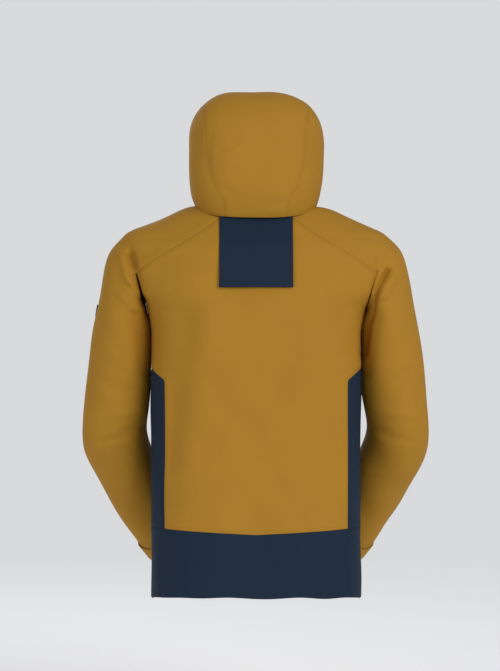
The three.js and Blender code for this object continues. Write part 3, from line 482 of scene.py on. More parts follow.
# ---- soft shape of the cloth -------------------------------------------------------------------
# side of the garment, corners as x and height, width, rise
CREASES = [
    (BACK, [[80, 578], [92, 480], [110, 370], [126, 260], [138, 165]], 32, 6.5),
    (BACK, [[132, 560], [148, 460], [160, 350], [166, 250]], 28, -5.5),
    (BACK, [[60, 300], [92, 230], [128, 180]], 22, 2.4),
    (BACK, [[-96, 540], [-112, 430], [-128, 300]], 30, 2.6),
    (BACK, [[-120, 300], [-100, 220], [-60, 170]], 24, -2.0),
    (BACK, [[243, 672], [236, 652], [225, 611], [220, 590], [213, 566]], 6, -8),
    (BACK, [[258, 668], [249, 632], [240, 604], [230, 584]], 10, 9.0),
    (BACK, [[250, 612], [231, 590], [213, 573]], 5, -6),
    (BACK, [[256, 592], [240, 570], [222, 554]], 11, 6.0),
    (BACK, [[262, 690], [252, 668], [240, 645]], 12, -2.4),
    (BACK, [[-257, 642], [-239, 614], [-231, 599], [-226, 580]], 6, -12),
    (BACK, [[-266, 626], [-250, 602], [-238, 578]], 11, 8.0),
    (BACK, [[-227, 579], [-213, 530], [-206, 470]], 7, -7),
    (BACK, [[232, 560], [222, 500], [216, 430]], 14, -3.2),
    (BACK, [[-232, 560], [-222, 500], [-216, 430]], 14, -3.0),
    (BACK, [[300, 500], [272, 470], [238, 440]], 14, 2.2),
    (BACK, [[304, 430], [266, 404], [222, 398]], 13, -3.0),
    (BACK, [[-306, 452], [-268, 422], [-224, 408]], 13, -2.6),
    (BACK, [[322, 352], [284, 350], [232, 372]], 17, 2.8),
    (BACK, [[-322, 352], [-284, 350], [-232, 372]], 17, 2.6),
    (BACK, [[300, 300], [262, 310], [222, 340]], 13, -3.2),
    (BACK, [[-300, 300], [-262, 310], [-222, 340]], 13, -3.0),
    (BACK, [[286, 250], [256, 236], [214, 246]], 15, 2.0),
    (BACK, [[-286, 250], [-256, 236], [-214, 246]], 15, 2.0),
    (BACK, [[30, 885], [52, 868], [70, 862]], 9, -2.2),
    (BACK, [[40, 868], [60, 850], [84, 846]], 10, 2.0),
    (BACK, [[88, 900], [92, 850], [84, 800]], 6, -1.6),
    (BACK, [[-92, 912], [-98, 860], [-90, 812]], 6, -1.6),
    (BACK, [[-62, 776], [-50, 764], [-34, 758]], 7, -2.0),
    (BACK, [[78, 798], [60, 784], [44, 780]], 7, -1.8),
    (FRONT, [[150, 560], [140, 430], [150, 260]], 24, 3.0),
    (FRONT, [[-150, 560], [-138, 430], [-150, 260]], 24, 3.0),
    (FRONT, [[210, 600], [170, 560], [120, 540]], 14, -2.4),
    (FRONT, [[-210, 600], [-170, 560], [-120, 540]], 14, -2.4),
    (FRONT, [[300, 380], [262, 350], [222, 352]], 14, -3.4),
    (FRONT, [[-300, 380], [-262, 350], [-222, 352]], 14, -3.4),
    (FRONT, [[306, 340], [266, 312], [226, 316]], 14, 2.8),
    (FRONT, [[-306, 340], [-266, 312], [-226, 316]], 14, 2.8),
    (FRONT, [[120, 240], [70, 200], [20, 190]], 20, -1.8),
    (FRONT, [[-120, 240], [-70, 200], [-20, 190]], 20, -1.8),
]
# the pocket zips on the front hold the cloth straight and a little sunk: ends as x and height
POCKET_LINES = [[[122.5, 412], [122.5, 228]], [[-122.5, 412], [-122.5, 228]]]
# direction, wave length and height of the slow waves that no cloth is without
WAVES = [
    ((1.0, 0.3, 0.22), 118, 0.9), ((-0.8, 0.5, 0.5), 83, 0.55), ((0.5, -0.4, 1.0), 151, 0.9),
    ((0.9, 0.7, -0.6), 61, 0.3),
]


def softness(points, normals, strength):
    """Rise of the cloth at each point: a bell across each crease line, faded at its two ends and on
    the other side of the garment, and the sum of a few slow sine waves. Near a pocket zip all of it
    gives way to a shallow flat channel."""
    rise = np.zeros(len(points))
    for number, (direction, length, height) in enumerate(WAVES):
        unit = np.array(direction) / np.linalg.norm(direction)
        rise += height * np.sin(points @ unit * 2 * math.pi / length + 1.7 * number)
    plan = points[:, [0, 2]]
    for side, corners, width, height in CREASES:
        line = np.array(corners, float)
        low, high = line[:, 1].min(), line[:, 1].max()
        fade = ease(plan[:, 1], low - width, low + width)
        fade = fade * (1 - ease(plan[:, 1], high - width, high + width))
        bell = np.exp(-(line_distance(plan, line) / width) ** 2)
        rise += height * bell * np.maximum(fade, 0.35) * ease(side * normals[:, 1], -0.1, 0.45)
    for ends in POCKET_LINES:
        near = np.exp(-(line_distance(plan, np.array(ends, float)) / 16) ** 4)
        near *= ease(FRONT * normals[:, 1], -0.1, 0.45)
        rise = rise * (1 - near) - 2.2 * near
    return rise * strength


def finished(cloth, strength=1.0, seam_depth=1.1, puff=0.8):
    """The sheet with its soft shape, its seams drawn in and the cloth beside them slightly full."""
    rise = softness(cloth.points, cloth.normals(), strength)
    rise = rise * (0.4 + 0.6 * ease(cloth.edge, 0, 20))
    dip = seam_depth * np.exp(-(cloth.edge / 2.6) ** 2)
    full = puff * np.exp(-((cloth.edge - 9) / 7) ** 2)
    return cloth.moved(rise - dip + full)


# ---- finishes ----------------------------------------------------------------------------------
class Value:
    """A socket of a node tree. Arithmetic on it adds Math nodes and gives another Value."""

    def __init__(self, finish, socket):
        self.finish, self.socket = finish, socket

    def math(self, operation, *others, swapped=False):
        """A Math node on this value and others, which come before it where swapped is set."""
        values = [self, *others]
        if swapped:
            values.reverse()
        return self.finish.node("ShaderNodeMath", {"operation": operation}, dict(enumerate(values)))

    def __add__(self, other):
        return self.math("ADD", other)

    def __radd__(self, other):
        return self.math("ADD", other, swapped=True)

    def __sub__(self, other):
        return self.math("SUBTRACT", other)

    def __mul__(self, other):
        return self.math("MULTIPLY", other)

    def __truediv__(self, other):
        return self.math("DIVIDE", other)

    def __rtruediv__(self, other):
        return self.math("DIVIDE", other, swapped=True)

    def __pow__(self, other):
        return self.math("POWER", other)

    def __abs__(self):
        return self.math("ABSOLUTE")

    def sin(self):
        """The sine of the value, in radians."""
        return self.math("SINE")

    def near(self, middle, width):
        """One where the value is at middle, falling as a bell to nought on both sides."""
        return 1 / (1 + ((self - middle) / width) ** 2)


class Finish:
    """A material whose nodes are made one by one through node()."""

    def __init__(self, name):
        self.material = bpy.data.materials.new(name)
        self.material.use_nodes = True
        self.tree = self.material.node_tree
        self.tree.nodes.clear()
        self.shader = self.make("ShaderNodeBsdfPrincipled")
        self.output = self.make("ShaderNodeOutputMaterial")
        self.tree.links.new(self.shader.outputs[0], self.output.inputs["Surface"])

    def make(self, kind, settings=None, inputs=None):
        """Adds a node, sets its settings first and then the values or links of its sockets."""
        node = self.tree.nodes.new(kind)
        for key, value in (settings or {}).items():
            setattr(node, key, value)
        self.feed(node, inputs or {})
        return node

    def feed(self, node, inputs):
        """Sets or links a node's sockets by name or number."""
        for key, value in inputs.items():
            if isinstance(value, Value):
                self.tree.links.new(value.socket, node.inputs[key])
            else:
                node.inputs[key].default_value = value

    def node(self, kind, settings=None, inputs=None, output=0):
        """Adds a node and gives one of its outputs as a Value."""
        return Value(self, self.make(kind, settings, inputs).outputs[output])

    def place(self):
        """Object coordinates."""
        return self.node("ShaderNodeTexCoord", output="Object")

    def seam(self):
        """Distance from the sewn edge, in millimetres."""
        return self.node("ShaderNodeAttribute", {"attribute_name": "seam"}, output="Fac")

    def grain(self):
        """Position along and across the cloth, in millimetres."""
        vector = self.node("ShaderNodeUVMap", {"uv_map": "grain"})
        parts = self.make("ShaderNodeSeparateXYZ", inputs={0: vector})
        return Value(self, parts.outputs[0]) * 100, Value(self, parts.outputs[1]) * 100

    def noise(self, size, detail=2.0, stretch=None):
        """Noise from nought to one whose patches are about size metres across."""
        vector = self.place()
        if stretch:
            vector = self.node("ShaderNodeMapping", inputs={"Vector": vector, "Scale": stretch})
        inputs = {"Vector": vector, "Scale": 1 / size, "Detail": detail}
        return self.node("ShaderNodeTexNoise", {"noise_dimensions": "3D"}, inputs)

    def mix(self, share, first, second):
        """A colour between two colours. The colour sockets of a Mix node share their names with
        others, so they go by number."""
        settings = {"data_type": "RGBA", "clamp_factor": True}
        return self.node("ShaderNodeMix", settings, {0: share, 6: first, 7: second}, output=2)

    def bump(self, height, strength, distance):
        """A normal from a height."""
        inputs = {"Height": height, "Strength": strength, "Distance": distance}
        return self.node("ShaderNodeBump", inputs=inputs)

    def surface(self, **sockets):
        """Sets or links the shader's own sockets; underscores stand for spaces."""
        self.feed(self.shader, {key.replace("_", " "): value for key, value in sockets.items()})
        return self.material


def shade(colour, factor, alpha=1.0):
    """A colour made lighter or darker, with its alpha."""
    return tuple(min(1.0, channel * factor) for channel in colour[:3]) + (alpha,)


def shell_cloth(name, colour, clouding, thread=0.9):
    """Softshell: a fine plain weave whose threads rise as the product of two sine waves, slow clouds
    of darker and lighter dye, a brushed grain, and beside each seam a sewn line with its stitches.
    Along each seam and its sewn line the colour is darkened: painted shade in the seam groove and
    in the stitched groove."""
    cloth = Finish(name)
    across, along = cloth.grain()
    seam = cloth.seam()
    weave = (across * (2 * math.pi / thread)).sin() * (along * (2 * math.pi / thread)).sin()
    clouds = cloth.noise(0.11, 3.0)
    slub = cloth.noise(0.004, 4.0, stretch=(1.0, 1.0, 0.35))
    fibre = cloth.noise(0.0009, 2.0)
    crease = seam.near(0.0, 0.8)
    row = seam.near(6.0, 0.55)
    stitch = row * ((along * (math.pi / 1.5)).sin() * 0.5 + (across * (math.pi / 1.5)).sin() * 0.5)
    dark, light = shade(colour, 1 - clouding), shade(colour, 1 + clouding)
    tone = cloth.mix(clouds * 1.6 - 0.3, dark, light)
    tone = cloth.mix(slub * 0.22, tone, shade(colour, 0.80))
    # painted shade: the colour is darkened in the seam groove and along the stitched row
    tone = cloth.mix(crease * 0.35 + row * 0.12, tone, shade(colour, 0.42))
    height = weave * 0.25 + fibre * 0.5 + slub * 0.6 - row * 1.3 + stitch * 0.8 - crease * 1.5
    return cloth.surface(
        Base_Color=tone,
        Roughness=0.74 + (slub - 0.5) * 0.16 + (clouds - 0.5) * 0.08,
        Normal=cloth.bump(height, 0.35, 0.00035),
        Specular_IOR_Level=0.16,
    )


def ribbed_knit(name, colour):
    """Rib knit: rounded wales as a sine across the cloth, with a finer sine of loops along them. The
    colour is lighter on the wales and darker between them: painted shade following the ribs.
    """
    cloth = Finish(name)
    across, along = cloth.grain()
    wale = (across * (2 * math.pi / 3.2)).sin()
    loop = (along * (2 * math.pi / 1.6) + wale * 1.4).sin()
    fuzz = cloth.noise(0.0012, 3.0)
    # painted shade: lighter on the tops of the wales, darker in the hollows between them
    tone = cloth.mix(wale * 0.5 + 0.5, shade(colour, 0.55), shade(colour, 1.15))
    tone = cloth.mix(fuzz * 0.3, tone, shade(colour, 0.7))
    return cloth.surface(
        Base_Color=tone,
        Roughness=0.86 + fuzz * 0.1,
        Normal=cloth.bump(wale + loop * 0.3 + fuzz * 0.3, 0.6, 0.0006),
        Sheen_Weight=0.25,
    )


def fleece_cloth(name, colour):
    """Brushed fleece: clumps of fine noise at two sizes."""
    cloth = Finish(name)
    clump = cloth.noise(0.006, 4.0)
    pile = cloth.noise(0.0015, 3.0)
    tone = cloth.mix(clump * 0.8 + pile * 0.2, shade(colour, 0.68), shade(colour, 1.28))
    return cloth.surface(
        Base_Color=tone,
        Roughness=0.9 + pile * 0.08,
        Normal=cloth.bump(clump + pile * 0.7, 0.7, 0.0012),
        Sheen_Weight=0.35,
    )


def lining_cloth(name, colour):
    """Smooth taffeta: a fine rib as a sine across the cloth, with soft clouds and puckered seams; the
    colour is darkened along the quilting seams as painted shade in their grooves.
    """
    cloth = Finish(name)
    across, along = cloth.grain()
    rib = (along * (2 * math.pi / 0.6)).sin()
    clouds = cloth.noise(0.05, 3.0)
    quilt = (across * (math.pi / 60)).sin() * (along * (math.pi / 60)).sin()
    line = abs(quilt).near(0.0, 0.05)
    tone = cloth.mix(clouds, shade(colour, 0.85), shade(colour, 1.2))
    # painted shade: the colour is darkened along the sunk quilting lines
    tone = cloth.mix(line * 0.35, tone, shade(colour, 0.5))
    return cloth.surface(
        Base_Color=tone,
        Roughness=0.42 + clouds * 0.1,
        Normal=cloth.bump(rib * 0.05 + clouds * 0.5 - line, 0.5, 0.0008),
        Sheen_Weight=0.1,
    )


def woven_tape(name, colour):
    """Zip tape and webbing: a herringbone, whose ribs lean one way and then the other in bands. The
    colour is lighter on the ribs and darker between them: painted shade following the ribs.
    """
    cloth = Finish(name)
    parts = cloth.make("ShaderNodeSeparateXYZ", inputs={0: cloth.place()})
    across, up = Value(cloth, parts.outputs[0]), Value(cloth, parts.outputs[2])
    lean = abs((across * (math.pi / 0.004)).sin())
    rib = (up * (2 * math.pi / 0.0012) + lean * 3.0).sin()
    fibre = cloth.noise(0.0008, 2.0)
    # painted shade: lighter on the ribs, darker between them
    tone = cloth.mix(rib * 0.5 + 0.5, shade(colour, 0.65), shade(colour, 1.25))
    return cloth.surface(
        Base_Color=tone,
        Roughness=0.74 + fibre * 0.12,
        Normal=cloth.bump(rib + fibre * 0.6, 0.45, 0.0003),
    )


def moulded_plastic(name, colour):
    """Acetal: an even satin skin with faint mould grain and slightly worn high spots."""
    plastic = Finish(name)
    grain = plastic.noise(0.0009, 2.0)
    wear = plastic.noise(0.012, 3.0)
    tone = plastic.mix(wear * 0.6, shade(colour, 1.0), shade(colour, 1.5))
    return plastic.surface(
        Base_Color=tone,
        Roughness=0.34 + wear * 0.14 + grain * 0.05,
        Normal=plastic.bump(grain, 0.12, 0.0002),
    )


def coated_metal(name, colour):
    """Gunmetal: dark plating with fine tumbled scratches and brighter rubbed places."""
    metal = Finish(name)
    scratch = metal.noise(0.003, 5.0, stretch=(1.0, 1.0, 0.1))
    rub = metal.noise(0.009, 2.0)
    tone = metal.mix(rub, shade(colour, 0.7), shade(colour, 1.4))
    return metal.surface(
        Base_Color=tone,
        Metallic=0.85 + rub * 0.1,
        Roughness=0.27 + scratch * 0.18,
        Normal=metal.bump(scratch, 0.15, 0.0002),
    )


# ---- sheets of the pattern ---------------------------------------------------------------------
def spread(*stretches):
    """Levels spread evenly over stretches, each given as its start, its end and how many steps."""
    parts = [np.linspace(start, end, steps, endpoint=False) for start, end, steps in stretches]
    return np.concatenate(parts + [[stretches[-1][1]]])


def sagged(girth, height):
    """Points of the body where the hem seam sags at the middle of the back, with the levels above
    and below it following less and less, and where the hem itself climbs towards the back."""
    x = body(girth, height)[..., 0]
    back = np.abs(np.mod(girth + 1, 4) - 1) <= 1
    dip = HEM_DIP * (1 - np.clip(np.abs(x) / PANEL_EDGE, 0, 1)) * back
    share = np.where(height > HEM_SEAM, 1 - ease(height, HEM_SEAM, 300), height / HEM_SEAM)
    behind = np.clip(body(girth, height)[..., 1] / BODY_SECTIONS[0, 2], 0, 1)
    rise = HEM_RISE * behind * (1 - np.clip(height / HEM_SEAM, 0, 1))
    return body(girth, height - dip * share) + rise[..., None] * [0, 0, 1]


def panel_edge(height, side, raglan):
    """Girth of the outer edge of the back or of a front: up the side panel and slanting to the side,
    up the side seam to the armpit, along the armhole, then along the raglan seam to the neck."""
    crossing = raglan[-1]
    armhole_x = np.interp(height, [ARMPIT[1], ARMHOLE_TOP[1]], [ARMPIT[0], ARMHOLE_TOP[0]])
    side_x = np.interp(height, [PANEL_CORNER, PANEL_TOP], [PANEL_EDGE, BODY_SECTIONS[4, 1]])
    raglan_x = through(raglan[::-1, 1], raglan[::-1, 0], height)
    along = girth_at(np.where(height < PANEL_TOP, side_x, armhole_x), height, side)
    at_side = (height >= PANEL_TOP) & (height <= ARMPIT[1])
    return np.where(at_side, 1.0, np.where(height > crossing[1], girth_at(raglan_x, height, side), along))


def back_sheet():
    """The back: level rows from the right outer edge to the left one."""
    top = BACK_RAGLAN[-1, 1]
    levels = spread((HEM_SEAM, PANEL_CORNER, 62), (PANEL_CORNER, PANEL_TOP, 14),
                    (PANEL_TOP, ARMPIT[1], 26), (ARMPIT[1], top, 20), (top, NECK, 40))
    reach = panel_edge(levels, BACK, BACK_RAGLAN)
    share = np.linspace(-1, 1, 121)
    return Cloth.grid(sagged(reach[:, None] * share, levels[:, None] + 0 * share))


def front_sheet():
    """The left front: level rows from the outer edge to the zip."""
    top = FRONT_RAGLAN[-1, 1]
    levels = spread((HEM_SEAM, PANEL_CORNER, 62), (PANEL_CORNER, PANEL_TOP, 14),
                    (PANEL_TOP, ARMPIT[1], 26), (ARMPIT[1], top, 6), (top, NECK, 50))
    outer = panel_edge(levels, FRONT, FRONT_RAGLAN)
    inner = girth_at(SLOT, levels, FRONT)
    share = np.linspace(0, 1, 66)
    girth = outer[:, None] * (1 - share) + inner[:, None] * share
    return Cloth.grid(body(girth, levels[:, None] + 0 * share))


def side_sheet():
    """The left side panel: level rows round the side, closing to a point at its top."""
    levels = spread((HEM_SEAM, PANEL_CORNER, 62), (PANEL_CORNER, PANEL_TOP, 14))
    x = np.interp(levels, [PANEL_CORNER, PANEL_TOP], [PANEL_EDGE, BODY_SECTIONS[4, 1]])
    share = np.linspace(0, 1, 44)
    back, front = girth_at(x, levels, BACK), girth_at(x, levels, FRONT)
    girth = back[:, None] * (1 - share) + front[:, None] * share
    return Cloth.grid(body(girth, levels[:, None] + 0 * share))


def hem_sheet(first, last, columns):
    """A hem band between two girths: down from the hem seam, round a half circle at the hem, and up
    a little way inside."""
    turn = np.linspace(math.pi, 0, 9)
    heights = np.concatenate([[30, 18], 3.4 - 3.4 * np.sin(turn), np.linspace(8, HEM_SEAM, 34)])
    insets = np.concatenate([[6.8, 6.8], 3.4 - 3.4 * np.cos(turn), np.zeros(34)])
    girth = np.linspace(first, last, columns)[None] + 0 * heights[:, None]
    levels = heights[:, None] + 0 * girth
    points = sagged(girth, levels)
    outline = sagged(girth, 0 * levels + 8)
    along = np.gradient(outline, axis=1)
    inward = np.stack([along[..., 1], -along[..., 0], 0 * levels], -1)
    inward /= np.maximum(np.linalg.norm(inward, axis=-1, keepdims=True), 1e-9)
    return Cloth.grid(points + inward * insets[:, None, None], seams="lrt")


def raglan_edge(columns):
    """Girth and height along the raglan seams, from the front armhole up, round the neck and down
    to the back armhole, evenly spaced."""
    parts = []
    for line, side in ((FRONT_RAGLAN[::-1], FRONT), (BACK_RAGLAN, BACK)):
        height = np.linspace(line[0, 1], line[-1, 1], 160)
        rising = line if line[0, 1] < line[-1, 1] else line[::-1]
        x = through(rising[:, 1], rising[:, 0], height)
        parts.append(np.stack([girth_at(x, height, side), height], -1))
    neck = np.linspace(parts[0][-1], parts[1][0], 80)[1:-1]
    path = np.concatenate([parts[0], neck, parts[1]])
    points = body(path[:, 0], path[:, 1])
    length = np.concatenate([[0], np.cumsum(np.linalg.norm(np.diff(points, axis=0), axis=1))])
    at = np.linspace(0, length[-1], columns)
    return np.stack([np.interp(at, length, path[:, k]) for k in (0, 1)], -1)


def armhole_turns(columns=SLEEVE_COLUMNS):
    """Angles round the armhole, in two stretches: from the front raglan seam over the shoulder to
    the back one, and then on under the arm to the front again."""
    middle, reach = (ARMPIT[1] + ARMHOLE_TOP[1]) / 2, (ARMHOLE_TOP[1] - ARMPIT[1]) / 2
    front = -math.acos((FRONT_RAGLAN[-1, 1] - middle) / reach)
    back = math.acos((BACK_RAGLAN[-1, 1] - middle) / reach)
    over = np.linspace(front, back, columns)
    under = np.linspace(back, front + 2 * math.pi, columns // 2)
    return over, under


def all_round(columns=SLEEVE_COLUMNS):
    """The angles of one whole turn round the sleeve."""
    over, under = armhole_turns(columns)
    return np.concatenate([over, under[1:-1]])


def shoulder_sheet():
    """The top of a raglan sleeve: straight lines, in girth and height, from the raglan seam to the
    armhole."""
    over, _ = armhole_turns()
    start = raglan_edge(len(over))
    cut = armhole(over)
    back, front = (girth_at(cut[:, 0], cut[:, 2], side) for side in (BACK, FRONT))
    girth = np.where(over >= 0, back, front)
    end = np.stack([girth, cut[:, 2]], -1)
    rows = 56
    share = np.linspace(0, 1, rows)[:, None, None]
    path = start * (1 - share) + end * share
    points = body(path[..., 0], path[..., 1])
    points[-1] = cut
    sheet = Cloth.grid(points, seams="b")
    along = np.linspace(-110, 0, rows)[:, None] + 0 * over
    sheet.grain = np.stack([over * SLEEVE_TURN + 0 * along, along], -1).reshape(-1, 2)
    return sheet


def sleeve_sheet(first, last, rows):
    """Rings of the sleeve between two ring numbers, all the way round."""
    around = all_round()
    along = np.linspace(first, last, rows)[:, None] + 0 * around
    around = around + 0 * along
    sheet = Cloth.grid(fitted_sleeve(along, around), seams="", closed=True)
    sheet.grain = np.stack([around * SLEEVE_TURN, along * RING_STEP], -1).reshape(-1, 2)
    return sheet


def raglan_sleeve():
    """The shoulder and the sleeve down to its cuff in one, smoothed where they meet."""
    shoulder, tube = shoulder_sheet(), sleeve_sheet(0, CUFF_START, 230)
    both = shoulder.joined(tube)
    both.edge = np.full(len(both.points), FREE_OF_SEAMS)
    _, under = armhole_turns()
    for seam in (body(*raglan_edge(60).T), armhole(under)):
        both.edge = np.minimum(both.edge, line_distance(both.points, seam))
    up = (ARMHOLE_TOP - ARMPIT) / np.linalg.norm(ARMHOLE_TOP - ARMPIT)
    out = (both.points[:, [0, 2]] - ARMPIT) @ np.array([up[1], -up[0]])
    height = both.points[:, 2]
    free = ease(height, 530, 580) * (1 - 0.8 * ease(height, 640, 690))
    amount = 0.5 * np.exp(-(out / 26) ** 2) * ease(both.edge, 3, 24) * free
    return both.relaxed(amount, 60)


def hood_rim(y):
    """Height of the bottom edge of the hood."""
    return HOOD_RIM + HOOD_RIM_SLOPE * (HOOD_RIM_Y - y)


def hood_seam(height):
    """How far the seam between the hood's middle and side panels is from the middle."""
    return through(HOOD_SEAM[:, 0], HOOD_SEAM[:, 1], height)


def hood_side_limits(height):
    """Angles round the hood of the back and the front edge of a side panel, at a height."""
    full = np.maximum(hood_fullness(height), 1e-6)
    out = hood_seam(height) / (HOOD_HALF_WIDTH * full)
    seam = np.arccos(np.clip(out, 0, 1) ** (HOOD_ROUNDNESS / 2))
    reach = (HOOD_CENTRE[1] - HOOD_FACE) / (HOOD_DEPTH * full)
    face = np.arcsin(np.clip(reach, 0, 1) ** (HOOD_ROUNDNESS / 2))
    return seam, -np.minimum(seam, face)


def hood_side_sheet():
    """The left side panel of the hood: rows from the rim to the point where its seams meet."""
    share = np.linspace(0, 1, 60)
    foot = 0 * share + HOOD_RIM
    for _ in range(30):
        back, front = hood_side_limits(foot)
        foot = hood_rim(hood_level(back * (1 - share) + front * share, foot)[:, 1])
    top = halving(HOOD_CENTRE[2], HOOD_CENTRE[2] + HOOD_CROWN - 1,
                  lambda z: hood_seam(z) - HOOD_HALF_WIDTH * hood_fullness(z))
    rise = np.linspace(0, 1, 64)[:, None]
    height = foot + rise * (top - foot)
    back, front = hood_side_limits(height)
    return Cloth.grid(hood_level(back * (1 - share) + front * share, height))


def hood_middle(share, pitch):
    """A point of the hood's middle panel: share runs from -1 at the right seam to 1 at the left
    one. The seam's place depends on the point's height, so it is found in a few rounds."""
    seam = HOOD_SEAM[-2, 1] + 0.0 * (share + pitch)
    for _ in range(5):
        seam = hood_seam(hood_arc(seam, pitch)[..., 2])
    return hood_arc(seam * share, pitch)


def hood_middle_sheet():
    """The middle panel: rows from the rim at the back, over the crown, to the face opening."""
    share = np.linspace(-1, 1, 71)

    def over_rim(pitch):
        """How high the point is over the bottom edge."""
        point = hood_middle(share, pitch)
        return point[:, 2] - hood_rim(point[:, 1])

    low = halving(-1.25, 0.2 + 0 * share, over_rim)
    high = halving(1.5, 3.0 + 0 * share, lambda pitch: HOOD_FACE - hood_middle(share, pitch)[:, 1])
    rise = np.linspace(0, 1, 110)[:, None]
    return Cloth.grid(hood_middle(share + 0 * rise, low + rise * (high - low)))


def brim_sheet():
    """The stiffened peak: the hood's own surface carried on in front of the face opening."""
    y = np.linspace(HOOD_FACE - 0.6, BRIM_FRONT, 16)[:, None]
    share = np.linspace(-1, 1, 61)
    level = ((BRIM_FOOT - HOOD_CENTRE[2]) / HOOD_CROWN) ** CROWN_ROUNDNESS
    full = (1 - level) ** (HOOD_ROUNDNESS / CROWN_ROUNDNESS)
    deep = (np.abs(y - HOOD_CENTRE[1]) / HOOD_DEPTH) ** HOOD_ROUNDNESS
    x = share * HOOD_HALF_WIDTH * (full - deep) ** (1 / HOOD_ROUNDNESS)
    level = np.abs(x / HOOD_HALF_WIDTH) ** HOOD_ROUNDNESS + deep
    rise = HOOD_CROWN * (1 - level ** (CROWN_ROUNDNESS / HOOD_ROUNDNESS)) ** (1 / CROWN_ROUNDNESS)
    return Cloth.grid(np.stack([x, y + 0 * x, HOOD_CENTRE[2] + rise], -1))


def collar_sheet(inset, slot):
    """The stand-up collar: rings that narrow from the neck seam to the top edge."""
    across = FLAT_SHARE * slot / FLAT
    girth = np.linspace(across - 2, 2 - across, 150)
    share = np.linspace(0, 1, 16)[:, None]
    base = body(girth, 0 * girth + NECK)
    _, neck_side, neck_back, _ = BODY_SECTIONS[-1]
    narrow = (neck_side - share * COLLAR_SIDE_IN - inset) / neck_side
    back = (neck_back - share * COLLAR_BACK_IN - inset) / neck_back
    front = (COLLAR_FRONT - share * COLLAR_FRONT_IN - inset) / COLLAR_FRONT
    depth = np.where(base[:, 1] > 0, back, front)
    return Cloth.grid(np.stack([base[:, 0] * narrow, base[:, 1] * depth,
                                NECK + 0.4 + share * COLLAR_HEIGHT + 0 * girth], -1), seams="bt")


def strip_sheet(near, far, low, high):
    """A patch of the front between two distances from the middle and two heights."""
    x = np.linspace(far, near, 24)
    height = np.linspace(low, high, 30)[:, None] + 0 * x
    return Cloth.grid(body(girth_at(x + 0 * height, height, FRONT), height))


# ---- settings shown in the panel ---------------------------------------------------------------
def length(name, description, default):
    """A length in metres with its name and description."""
    return FloatProperty(name=name, description=description, default=default, min=0, unit="LENGTH",
                         precision=4)


def colour(name, description, default):
    """A colour with its name and description."""
    return FloatVectorProperty(name=name, description=description, default=default, min=0, max=1,
                               size=3, subtype="COLOR")


def factor(name, description, default, high=1.0):
    """A plain share with its name and description."""
    return FloatProperty(name=name, description=description, default=default, min=0, max=high,
                         subtype="FACTOR")


class JacketCut(bpy.types.PropertyGroup):
    """Thicknesses and fullness of the cloth."""
    shell: length("Shell", "Thickness of the outer cloth", 0.002)
    lining: length("Lining", "Thickness of the lining", 0.0012)
    loft: length("Loft", "Depth of shell and wadding together, outside the lining", 0.0082)
    flap: length("Flap", "Thickness of the back flap", 0.0024)
    flap_lift: length("Flap lift", "How far the loose edge of the back flap stands off", 0.0035)
    seam: length("Seam depth", "How far a seam is drawn in", 0.0008)
    puff: length("Puff", "How far the cloth beside a seam stands out", 0.0005)
    softness: factor("Softness", "How strongly creases and waves show", 1.0, 3.0)
    tooth: length("Tooth pitch", "Distance between the teeth of the main zip", 0.0029)


class JacketColours(bpy.types.PropertyGroup):
    """Colours of the cloths and trims."""
    mustard: colour("Mustard", "Main shell cloth", (0.376, 0.186, 0.0172))
    navy: colour("Navy", "Contrast shell cloth", (0.0082, 0.0196, 0.0400))
    lining: colour("Lining", "Body and sleeve lining", (0.020, 0.026, 0.036))
    fleece: colour("Fleece", "Collar and chin fleece", (0.030, 0.038, 0.050))
    knit: colour("Knit", "Wrist gaiters", (0.018, 0.022, 0.030))
    tape: colour("Tape", "Zip tape and webbing", (0.016, 0.024, 0.038))
    plastic: colour("Plastic", "Zip teeth and pulls", (0.022, 0.026, 0.032))
    metal: colour("Metal", "Zip sliders", (0.30, 0.31, 0.33))


class JacketStage(bpy.types.PropertyGroup):
    """Floor, light and camera."""
    floor: colour("Floor", "Floor under the jacket", (0.72, 0.72, 0.73))
    backdrop: colour("Backdrop", "Light behind the jacket", (0.69, 0.70, 0.71))
    ambient: factor("Even light", "Share of the backdrop's brightness that falls on the jacket", 0.62, 2.0)
    glow: factor("Floor glow", "How much the floor shines of itself", 0.36)
    drop: length("Floor drop", "How far the floor is under the hem", 0.25)
    camera_distance: length("Camera distance", "From the camera to the middle of the jacket", 5.0)
    camera_height: length("Camera height", "Height of the camera above the hem", 0.511)
    key: FloatProperty(name="Key light", description="Power of the main soft light", default=185,
                       min=0, unit="POWER")
    fill: FloatProperty(name="Fill light", description="Power of the light on the other side",
                        default=62, min=0, unit="POWER")
    front: FloatProperty(name="Front light", description="Power of the light before the jacket",
                         default=60, min=0, unit="POWER")


def finish(context, kind):
    """The material of one cloth or trim, made on first use."""
    known = bpy.data.materials.get(kind)
    if known:
        return known
    tints = context.scene.jacket_colours
    makers = {
        "mustard shell": lambda: shell_cloth(kind, tints.mustard, clouding=0.05),
        "navy shell": lambda: shell_cloth(kind, tints.navy, clouding=0.08),
        "lining": lambda: lining_cloth(kind, tints.lining),
        "fleece": lambda: fleece_cloth(kind, tints.fleece),
        "rib knit": lambda: ribbed_knit(kind, tints.knit),
        "zip tape": lambda: woven_tape(kind, tints.tape),
        "moulded plastic": lambda: moulded_plastic(kind, tints.plastic),
        "coated metal": lambda: coated_metal(kind, tints.metal),
    }
    return makers[kind]()


MUSTARD, NAVY, LINING, FLEECE = "mustard shell", "navy shell", "lining", "fleece"
KNIT, TAPE, PLASTIC, METAL = "rib knit", "zip tape", "moulded plastic", "coated metal"


def sew(context, name, cloths, thickness, kind, replaced):
    """Makes a piece of cloth from its sheets and lets it stand for its nodes of the frame."""
    piece = thick_mesh(name, cloths, thickness / MM)
    piece.data.materials.append(finish(context, kind))
    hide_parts(*replaced)
    return piece


